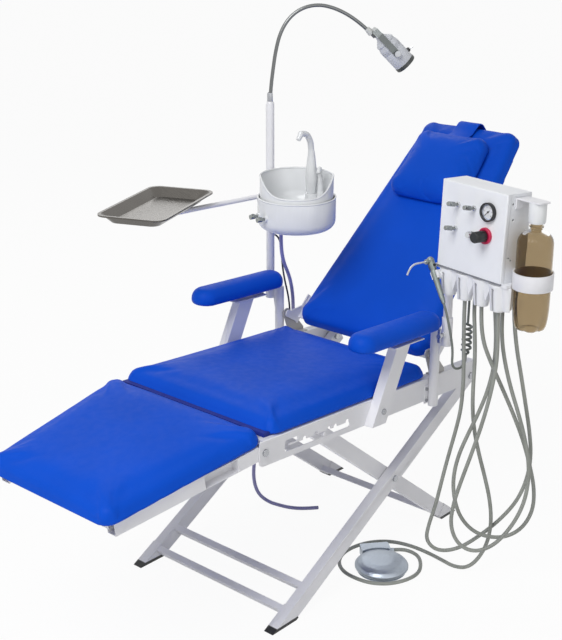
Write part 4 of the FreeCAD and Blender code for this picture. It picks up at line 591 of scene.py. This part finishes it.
def covered(name):
    """Remeshed copy of a pad's form with its cover as cloth, held where it is fastened."""
    corners, radius, z0, z1, rim_low, rim_top, drop, cap, voxel = PADS[name]
    obj = bpy.data.objects.new(name, pad_form(name, corners, radius, z0, z1, rim_low, rim_top, drop))
    bpy.context.scene.collection.objects.link(obj)
    remesh = obj.modifiers.new("remesh", "REMESH")
    remesh.mode, remesh.voxel_size = "VOXEL", voxel
    mesh = evaluated(obj)
    obj.modifiers.clear()
    obj.data = mesh
    held = obj.vertex_groups.new(name="held")
    held.add([v.index for v in mesh.vertices if v.co.z < z0 + PINNED], 1.0, "REPLACE")
    cloth = obj.modifiers.new("cover", "CLOTH")
    cloth.settings.vertex_group_mass = "held"
    cloth.settings.use_pressure = True
    cloth.settings.uniform_pressure_force = 4
    cloth.settings.effector_weights.gravity = 0
    cloth.point_cache.frame_start, cloth.point_cache.frame_end = 1, 20
    return obj, [v.co.copy() for v in mesh.vertices]


def finish_pad(obj, start, cap):
    """Applies the cloth's result, each point's way held under the cap."""
    swollen = evaluated(obj)
    obj.modifiers.clear()
    obj.vertex_groups.clear()
    for v, s, w in zip(obj.data.vertices, start, swollen.vertices):
        way = w.co - s
        far = way.length
        v.co = s + (way * (cap * (1 - math.exp(-far / cap)) / far) if far > 1e-6 else way)
    bpy.data.meshes.remove(swollen)


def make_pads():
    """Blows the covers up, all in one run of the cloth, and sets each pad in its place."""
    made = {name: covered(name) for name in PADS}
    for frame_number in range(1, 21):
        bpy.context.scene.frame_set(frame_number)
    for name, (obj, start) in made.items():
        finish_pad(obj, start, PADS[name][7])
    second = bpy.data.objects.new("arm_pad_far", made["arm_pad"][0].data.copy())
    bpy.context.scene.collection.objects.link(second)
    near = made["arm_pad"][0]
    near.name = "arm_pad_near"
    lay = turn("Y", 2.98)
    places = (
        (made["seat_pad"][0], RAIL, "chair", "seat_cushion", 0.85),
        (made["legrest_pad"][0], LEGREST, "legrest", "legrest_cushion", 0.85),
        (made["backrest_pad"][0], BACK, "backrest", "backrest_cushion", 0.85),
        (made["head_pillow"][0], BACK, "headrest", "pillow", 0.8),
        (near, Matrix.Translation(here(-0.204, -0.2575, 0.629)) @ lay, "chair", "arm_pads", 0.9),
        (second, Matrix.Translation(here(-0.204, 0.2575, 0.629)) @ lay, "chair", "arm_pads", 0.9),
    )
    for obj, place, body, node, fill in places:
        obj.data.transform(place)
        obj.data.materials.clear()
        obj.data.materials.append(BLUE)
        obj.data.shade_smooth()
        smooth = obj.modifiers.new("subdivision", "SUBSURF")
        smooth.levels = smooth.render_levels = 1
        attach(obj, body)
        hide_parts(node)


def make_strap():
    """Vinyl strap that hooks the head pillow over the backrest's top edge."""
    top, face, rear = 0.7051, 0.0052, -0.0412
    line = [(0.600, face + 0.030), (0.632, face + 0.018), (0.655, face + 0.006), (0.678, face + 0.0022)]
    line += [(top - 0.021 + 0.0232 * math.sin(a), face - 0.021 + 0.0232 * math.cos(a))
             for a in (math.radians(15 * k) for k in range(1, 7))]
    line += [(top + 0.0022, rear + 0.010), (top - 0.0018, rear + 0.001), (top - 0.010, rear - 0.0024),
             (top - 0.040, rear - 0.0028), (top - 0.066, rear - 0.0028)]
    half, thick = 0.033, 0.0022
    section = ((-half, 0), (-half, thick), (-half + 0.002, thick + 0.0008), (0, thick + 0.0004),
               (half - 0.002, thick + 0.0008), (half, thick), (half, 0))
    bm = bmesh.new()
    rows = []
    for k, (a, n) in enumerate(line):
        ahead = Vector(line[min(k + 1, len(line) - 1)]) - Vector(line[max(k - 1, 0)])
        out = Vector((-ahead.y, ahead.x)).normalized()
        rows.append([bm.verts.new((a + out.x * lift, y, n + out.y * lift))
                     for y, lift in section])
    for low, high in zip(rows, rows[1:]):
        for i in range(len(low)):
            j = (i + 1) % len(low)
            bm.faces.new((low[i], high[i], high[j], low[j]))
    bm.faces.new(rows[0])
    bm.faces.new(rows[-1][::-1])
    strap = piece("head_pillow_strap", bm, "headrest", BLUE, BACK, 60)


# ---- control box ---------------------------------------------------------------------------
TOGGLES = ((0.056, 0.155), (0.107, 0.156), (0.053, 0.098))
NEEDLE_VALVE, GAUGE, REGULATOR = (0.108, 0.096), (0.154, 0.157), (0.149, 0.101)
PANEL_OUT = UNIT.to_3x3() @ Vector((-1, 0, 0))
PANEL_UP = UNIT.to_3x3() @ Z


def on_panel(w, h):
    return facing(panel(w, 0, h), PANEL_OUT, PANEL_UP)


def on_unit(name, bm, material, place, sharp=35, node="panel_fittings"):
    obj = piece(name, bm, "unit", material, place, sharp)
    if node:
        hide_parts(node)
    return obj


def make_gauge():
    place = on_panel(*GAUGE)
    rim = ((0, 0), (0.0205, 0), (0.0215, 0.001), (0.022, 0.008), (0.0218, 0.0098), (0.0208, 0.011),
           (0.0196, 0.0112), (0.0188, 0.0105), (0.0182, 0.0038), (0, 0.0038))
    on_unit("gauge_rim", turned(rim, 56), BLACK, place)
    on_unit("gauge_dial", turned(((0, 0.0036), (0.018, 0.0036), (0.0178, 0.0041), (0, 0.0041)), 56),
            DIAL_WHITE, place)
    band = ((0.0150, 0.00405), (0.0151, 0.0043), (0.0166, 0.0043), (0.0167, 0.00405))
    on_unit("gauge_band", turned(band + band[:1], 56), DIAL_BLUE, place)
    bm = bmesh.new()
    for k in range(51):
        a = math.radians(225 - 270 * k / 50)
        inner, half = (0.0132, 0.00028) if k % 10 == 0 else (0.0145 - 0.0004 * (k % 5 == 0), 0.00014)
        along, side = Vector((math.cos(a), math.sin(a), 0)), Vector((-math.sin(a), math.cos(a), 0))
        corners = [along * inner - side * half, along * 0.0172 - side * half,
                   along * 0.0172 + side * half, along * inner + side * half]
        low = [bm.verts.new(c + Z * 0.0041) for c in corners]
        high = [bm.verts.new(c + Z * 0.0045) for c in corners]
        bm.faces.new(high)
        for i in range(4):
            bm.faces.new((low[i], low[(i + 1) % 4], high[(i + 1) % 4], high[i]))
    on_unit("gauge_scale", bm, INK, place)
    bm = bmesh.new()
    for k in range(6):
        text = bpy.data.curves.new("number", "FONT")
        text.body, text.size, text.extrude = str(2 * k), 0.0036, 0.0001
        text.align_x, text.align_y = "CENTER", "CENTER"
        obj = bpy.data.objects.new("number", text)
        bpy.context.scene.collection.objects.link(obj)
        bpy.context.view_layer.update()
        mesh = evaluated(obj)
        a = math.radians(225 - 270 * k / 5)
        mesh.transform(Matrix.Translation((0.0108 * math.cos(a), 0.0108 * math.sin(a), 0.0043)))
        bm.from_mesh(mesh)
        bpy.data.objects.remove(obj)
        bpy.data.meshes.remove(mesh)
    on_unit("gauge_numbers", bm, INK, place)
    lens = [(0, 0.0108), (0.008, 0.0106), (0.0145, 0.0101), (0.0186, 0.0094), (0.0186, 0.0088), (0, 0.0088)]
    on_unit("gauge_glass", turned(lens, 48), CLEAR, place)


def make_panel():
    for k, (w, h) in enumerate(TOGGLES):
        place = on_panel(w, h)
        nut = ((0.0046, 0), (0.0066, 0), (0.0072, 0.0006), (0.0072, 0.0030), (0.0066, 0.0036),
               (0.0056, 0.0037), (0.0055, 0.0050), (0.0045, 0.0053), (0.0043, 0.0030))
        on_unit(f"toggle_nut_{k}", turned(nut, 6), CHROME, place, 25)
        base, tip = panel(w, -0.0045, h), panel(w - 0.001, -0.034, h + 0.005)
        along = facing(base, tip - base, PANEL_UP)
        length = (tip - base).length

        def ridged(a, r, z, end=length):
            return r + (0.00022 * math.cos(18 * a) if 0.0105 < z < end - 0.0075 else 0)

        stick = ((0, -0.0036), (0.0026, -0.0026), (0.0038, 0), (0.0030, 0.0030), (0.0026, 0.0068),
                 (0.0048, 0.0084), (0.0056, 0.0092), (0.0056, 0.0104), (0.0051, 0.0106), (0.0054, 0.0108),
                 (0.0054, length - 0.0080), (0.0050, length - 0.0078), (0.0050, length - 0.0068),
                 (0.0055, length - 0.0064), (0.0055, length - 0.0014), (0.0045, length), (0, length))
        letter = "abc"[k]
        obj = piece(f"toggle_stick_{letter}", turned(stick, 72, ridged), f"switch_{letter}", TOGGLE_STEEL,
                    along)
        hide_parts(f"toggle_{letter}")
    place = on_panel(*NEEDLE_VALVE)
    bush = ((0.0026, 0), (0.0064, 0), (0.0068, 0.0006), (0.0068, 0.003), (0.0060, 0.0040), (0.0026, 0.0040))
    on_unit("needle_bush", turned(bush, 6), ARM_STEEL, place, 25)
    collar = ((0.0052, 0), (0.0186, 0), (0.019, 0.0006), (0.019, 0.0052), (0.0182, 0.0064), (0.0168, 0.0070),
              (0.0160, 0.0066), (0.0052, 0.0066))
    on_unit("regulator_collar", turned(collar, 56), CRIMSON, on_panel(*REGULATOR))
    bm = bmesh.new()
    bmesh.ops.create_cube(bm, size=1)
    middle, size = Vector((0.004, -0.1025, -0.0012)), Vector((0.0115, 0.2066, 0.0032))
    bm.transform(Matrix.LocRotScale(middle, None, size))
    bmesh.ops.bevel(bm, geom=bm.edges, offset=0.0008, segments=2, affect="EDGES")
    on_unit("case_seam_strip", bm, SEAM_GREY, UNIT, node=None)


def make_boots():
    """Tapered strain reliefs where the hoses leave the underside of the holder."""
    down = UNIT.to_3x3() @ Vector((0, 0, -1))
    for k, w in enumerate((0.195, 0.132, 0.163, 0.072)):
        place = facing(panel(w, EXIT_D, HOSE_EXIT), down, PANEL_OUT)
        outline = [(0.0050, -0.001), (0.0076, -0.001), (0.0078, 0.002)]
        for n in range(5):
            z = 0.004 + 0.005 * n
            r = 0.0074 - 0.0004 * n
            outline += [(r, z), (r, z + 0.003), (r - 0.0008, z + 0.0034), (r - 0.0008, z + 0.0046)]
        outline += [(0.0056, 0.0300), (0.0050, 0.0300)]
        on_unit(f"hose_boot_{k}", turned(outline, 28), BLACK, place, node=None)


# ---- water bottle ----------------------------------------------------------------------------
def bottle_shape(a, r, z):
    """Five feet at the base and shallow ribs round the shoulder."""
    if z < 0.052:
        r *= 1 - 0.20 * (1 - z / 0.052) * (0.5 - 0.5 * math.cos(5 * a)) ** 1.5
    if 0.196 < z < 0.230:
        r += 0.0008 * math.cos(20 * a) * math.sin(math.pi * (z - 0.196) / 0.034)
    return r


def make_bottle():
    place = Matrix.Translation(BOTTLE)
    outside = [(0, 0.010), (0.012, 0.006), (0.020, 0.002), (0.027, 0.0005), (0.033, 0.004),
               (0.0365, 0.012), (0.0385, 0.022), (0.0400, 0.036), (0.0408, 0.052), (0.041, 0.070),
               (0.041, 0.094), (0.0405, 0.096), (0.0405, 0.100), (0.041, 0.102), (0.041, 0.190),
               (0.0408, 0.198), (0.0400, 0.206), (0.0383, 0.213), (0.0355, 0.219), (0.0315, 0.2245),
               (0.0265, 0.2285), (0.021, 0.2315), (0.0165, 0.2335), (0.0138, 0.2355), (0.0128, 0.2385),
               (0.0128, 0.2405), (0.0160, 0.2410), (0.0163, 0.2422), (0.0160, 0.2434), (0.0128, 0.2440),
               (0.0128, 0.2460), (0.0132, 0.2468), (0.0132, 0.2480), (0.0128, 0.2488), (0.0128, 0.2560)]
    wall = 0.0012
    inside = [(max(0, r - wall), z + wall) for r, z in outside if z < 0.2385]
    neck = [(0.0116, 0.2400), (0.0116, 0.2560)]
    skin = turned(outside + neck[::-1] + inside[::-1], 60, bottle_shape)
    bottle = piece("bottle_wall", skin, "water_bottle", BOTTLE_PLASTIC, place, 50)
    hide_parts("bottle")


# ---- lamp ------------------------------------------------------------------------------------
GOOSE_DIR = Vector((0.756, -0.655, 0))
GOOSE = ((0, 1.104), (0.002, 1.142), (0.008, 1.190), (0.015, 1.238), (0.027, 1.284), (0.050, 1.322),
         (0.084, 1.346), (0.126, 1.354), (0.170, 1.344), (0.213, 1.322), (0.252, 1.292), (0.276, 1.269))
LAMP_R = 0.0285


def goose_point(r, z):
    return LAMP_POLE + GOOSE_DIR * r + Z * z


def lamp_place():
    x = (GOOSE_DIR * 0.704 - Z * 0.710).normalized()
    y = Z.cross(GOOSE_DIR).normalized()
    return frame_of(goose_point(0.301, 1.258), x, y, x.cross(y))


LAMP = lamp_place()
LAMP_AXIS = LAMP @ turn("Y", 90)          # its Z runs along the beam


def make_gooseneck():
    """Ribbed flexible arm, its ferrules, and the lamp's fork with its hand screws."""
    curve = bpy.data.curves.new("arm_line", "CURVE")
    curve.dimensions = "3D"
    spline = curve.splines.new("NURBS")
    spline.points.add(len(GOOSE) - 1)
    for point, (r, z) in zip(spline.points, GOOSE):
        point.co = (*goose_point(r, z), 1)
    spline.order_u, spline.use_endpoint_u, spline.resolution_u = 3, True, 40
    line = bpy.data.objects.new("arm_line", curve)
    bpy.context.scene.collection.objects.link(line)
    bpy.context.view_layer.update()
    path = [v.co.copy() for v in evaluated(line).vertices]
    bpy.data.objects.remove(line)
    ribs = tube(path, lambda k: 0.0050 if k % 2 else 0.0046, 18)
    arm = piece("flexible_arm", ribs, "lamp_post", ARM_STEEL, None, 80)
    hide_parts("gooseneck")
    ferrule = ((0.0052, 0), (0.0072, 0), (0.0076, 0.001), (0.0076, 0.022), (0.0070, 0.026), (0.0056, 0.027),
               (0.0050, 0.027))
    foot = Matrix.Translation(goose_point(*GOOSE[0]))
    low = piece("arm_ferrule", turned(ferrule, 32), "lamp_post", STEEL, foot)
    end = LAMP.inverted() @ path[-1]
    collar = tube([end + Vector((x, 0, 0)) for x in (-0.032, -0.031, -0.024, -0.0135, -0.0125)],
                  lambda k: (0.0056, 0.0070, 0.0080, 0.0090, 0.0080)[k], 28)
    pale = piece("arm_end_collar", collar, "lamp_post", PALE_NYLON, LAMP)
    bm = bmesh.new()
    half, thick, arm_y, tilt_x = 0.0085, 0.0030, LAMP_R + 0.002, 0.040
    outline = [(0.046, arm_y), (0.046, arm_y + thick), (-0.026, arm_y + thick), (-0.042, arm_y - 0.012),
               (-0.042, -arm_y + 0.012), (-0.026, -arm_y - thick), (0.046, -arm_y - thick), (0.046, -arm_y),
               (-0.0245, -arm_y), (-0.0385, -arm_y + 0.014), (-0.0385, arm_y - 0.014), (-0.0245, arm_y)]
    low_ring = [bm.verts.new((x, y, -half)) for x, y in outline]
    high_ring = [bm.verts.new((x, y, half)) for x, y in outline]
    for i in range(len(outline)):
        j = (i + 1) % len(outline)
        bm.faces.new((low_ring[i], low_ring[j], high_ring[j], high_ring[i]))
    bm.faces.new(low_ring[::-1])
    bm.faces.new(high_ring)
    bmesh.ops.recalc_face_normals(bm, faces=bm.faces)
    bmesh.ops.bevel(bm, geom=bm.edges, offset=0.0008, segments=2, affect="EDGES")
    fork = piece("lamp_fork", bm, "lamp_post", FORK_GREY, LAMP)
    for side, name in ((-1, "near"), (1, "far")):
        out = Vector((0, side, 0))
        place = LAMP @ facing(Vector((tilt_x, side * (arm_y + thick), 0)), out, Vector((1, 0, 0)))
        knob = ((0, 0), (0.0060, 0), (0.0066, 0.0006), (0.0066, 0.003), (0.0078, 0.004), (0.0082, 0.0052),
                (0.0082, 0.0092), (0.0074, 0.0104), (0, 0.0106))
        material = STEEL if side < 0 else PALE_NYLON
        obj = piece("fork_knob_" + name, turned(knob, 36), "lamp_post", material, place)
    seat = Vector((tilt_x, arm_y + thick + 0.0098, 0))
    place = LAMP @ facing(seat, Vector((0, 1, 0)), Vector((1, 0, 0)))
    bm = bmesh.new()
    for side in (-1, 1):
        wing = [Vector((side * x, 0, z)) for x, z in ((0.003, 0.0), (0.012, 0.003), (0.0165, 0.009),
                                                      (0.0150, 0.0125), (0.008, 0.010), (0.002, 0.005))]
        low = [bm.verts.new(v - Vector((0, 0.0014, 0))) for v in wing]
        high = [bm.verts.new(v + Vector((0, 0.0014, 0))) for v in wing]
        for i in range(len(wing)):
            j = (i + 1) % len(wing)
            bm.faces.new((low[i], low[j], high[j], high[i]))
        bm.faces.new(low[::-1])
        bm.faces.new(high)
    bmesh.ops.recalc_face_normals(bm, faces=bm.faces)
    wings = piece("fork_wing_screw", bm, "lamp_post", PALE_NYLON, place, 60)
    soft = wings.modifiers.new("round", "SUBSURF")
    soft.levels = soft.render_levels = 2


def make_lamp():
    rim = ((0.0250, 0.0770), (0.0286, 0.0760), (0.0292, 0.0770), (0.0294, 0.0850), (0.0284, 0.0864),
           (0.0262, 0.0864), (0.0252, 0.0840), (0.0248, 0.0800))
    ring = piece("lamp_front_ring", turned(rim + rim[:1], 56), "lamp_head", RIM_DARK, LAMP_AXIS)
    glass = ((0, 0.0802), (0.020, 0.0802), (0.0249, 0.0802), (0.0249, 0.0822), (0.020, 0.0828),
             (0.010, 0.0833), (0, 0.0834))
    lens = piece("lamp_front_glass", turned(glass, 56), "lamp_head", LENS_GLASS, LAMP_AXIS)
    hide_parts("lamp_lens")
    cup = [(0, 0.052)] + [(0.0246 * math.sin(math.radians(a)), 0.078 - 0.026 * math.cos(math.radians(a)))
                          for a in range(10, 91, 10)]
    mirror = piece("lamp_reflector", turned(cup, 48), "lamp_head", MIRROR, LAMP_AXIS)
    boot = ((0, LAMP_R), (0.0062, LAMP_R), (0.0064, LAMP_R + 0.002), (0.0052, LAMP_R + 0.0052),
            (0.0034, LAMP_R + 0.0064))
    cone = ((0, -0.024), (0.0085, -0.024), (0.0100, -0.022), (0.0125, -0.014), (0.0190, -0.007),
            (0.0258, 0.0), (0.0262, 0.004), (0, 0.004))
    cap = piece("lamp_back_cone", turned(cone, 56), "lamp_head", LAMP_SILVER, LAMP_AXIS)
    place = LAMP @ Matrix.Translation((0.062, 0, 0))
    collar = piece("switch_boot", turned(boot, 32), "lamp_head", BLACK, place)


# ---- cuspidor --------------------------------------------------------------------------------
BOWL_RIM, BOWL_DIP, DIP_FROM, DIP_TO, DIP_YAW = 0.932, 0.888, 0.008, 0.092, 222


def make_lips():
    """Rolled edges of the bowl and of its shell."""
    path = []
    for k in range(97):
        a = 2 * math.pi * k / 96
        reach = 0.095 * math.cos(a - math.radians(DIP_YAW))
        t = min(1, max(0, (reach - DIP_FROM) / (DIP_TO - DIP_FROM)))
        z = (BOWL_RIM + BOWL_DIP) / 2 + (BOWL_RIM - BOWL_DIP) / 2 * math.cos(math.pi * t)
        path.append(CUSPIDOR + Vector((0.095 * math.cos(a), 0.095 * math.sin(a), z)))
    lip = piece("bowl_rolled_lip", tube(path, lambda k: 0.0026, 14), "cuspidor", GLOSS_WHITE, None, 80)
    path = [CUSPIDOR + Vector((0.1016 * math.cos(a), 0.1016 * math.sin(a), 0.876))
            for a in (2 * math.pi * k / 96 for k in range(97))]
    lip = piece("shell_rolled_lip", tube(path, lambda k: 0.0025, 14), "cuspidor", GLOSS_WHITE, None, 80)


# ---- stage -------------------------------------------------------------------------------
def white_to_camera(tree, shader_out, share):
    """Adds plain white for camera, mirror and glass rays over a shader, by share."""
    path = tree.nodes.new("ShaderNodeLightPath")
    white = tree.nodes.new("ShaderNodeEmission")
    white.inputs["Color"].default_value = (1, 1, 1, 1)
    seen = tree.nodes.new("ShaderNodeMath")
    seen.operation, seen.use_clamp = "ADD", True
    also = tree.nodes.new("ShaderNodeMath")
    also.operation, also.use_clamp = "ADD", True
    tree.links.new(path.outputs["Is Camera Ray"], seen.inputs[0])
    tree.links.new(path.outputs["Is Glossy Ray"], seen.inputs[1])
    tree.links.new(seen.outputs[0], also.inputs[0])
    tree.links.new(path.outputs["Is Transmission Ray"], also.inputs[1])
    amount = tree.nodes.new("ShaderNodeMath")
    amount.operation = "MULTIPLY"
    amount.inputs[1].default_value = share
    tree.links.new(also.outputs[0], amount.inputs[0])
    mix = tree.nodes.new("ShaderNodeMixShader")
    tree.links.new(amount.outputs[0], mix.inputs["Fac"])
    tree.links.new(shader_out, mix.inputs[1])
    tree.links.new(white.outputs[0], mix.inputs[2])
    return mix.outputs[0]


def make_stage():
    bpy.ops.mesh.primitive_plane_add(size=120, location=(0, 0, 0))
    floor = bpy.context.object
    floor.name = "floor"
    mat = bpy.data.materials.new("floor")
    mat.use_nodes = True
    tree = mat.node_tree
    bsdf = tree.nodes["Principled BSDF"]
    bsdf.inputs["Base Color"].default_value = (0.9, 0.9, 0.9, 1)
    bsdf.inputs["Roughness"].default_value = 0.7
    out = tree.nodes["Material Output"]
    tree.links.new(white_to_camera(tree, bsdf.outputs[0], 0.94), out.inputs["Surface"])
    floor.data.materials.append(mat)
    world = bpy.data.worlds.new("studio")
    bpy.context.scene.world = world
    world.use_nodes = True
    tree = world.node_tree
    tree.nodes["Background"].inputs["Color"].default_value = (0.9, 0.9, 0.9, 1)
    tree.nodes["Background"].inputs["Strength"].default_value = 0.36
    out = tree.nodes["World Output"]
    mixed = white_to_camera(tree, tree.nodes["Background"].outputs[0], 1.0)
    tree.links.new(mixed, out.inputs["Surface"])
    bpy.context.scene.view_settings.view_transform = "Standard"


def area_light(name, place, aim, size, power, colour=(1, 1, 1)):
    data = bpy.data.lights.new(name, "AREA")
    data.shape, data.size, data.energy, data.color = "DISK", size, power, colour
    lamp = bpy.data.objects.new(name, data)
    bpy.context.scene.collection.objects.link(lamp)
    lamp.location = place
    lamp.rotation_euler = (Vector(aim) - Vector(place)).to_track_quat("-Z", "Y").to_euler()
    lamp.visible_glossy = True


def make_lights():
    area_light("key", (-2.6, -0.4, 3.4), (0, 0, 0.5), 2.4, 88)
    area_light("fill", (-1.0, -3.4, 1.6), (0, 0, 0.6), 2.6, 12)
    area_light("back", (2.2, 2.6, 2.8), (0, 0, 0.7), 2.0, 16)


# ---- make ----------------------------------------------------------------------------------
make_camera()
make_cords()
finish_nodes()
make_pads()
make_strap()
make_gauge()
make_panel()
make_boots()
make_bottle()
make_gooseneck()
make_lamp()
make_lips()
make_stage()
make_lights()
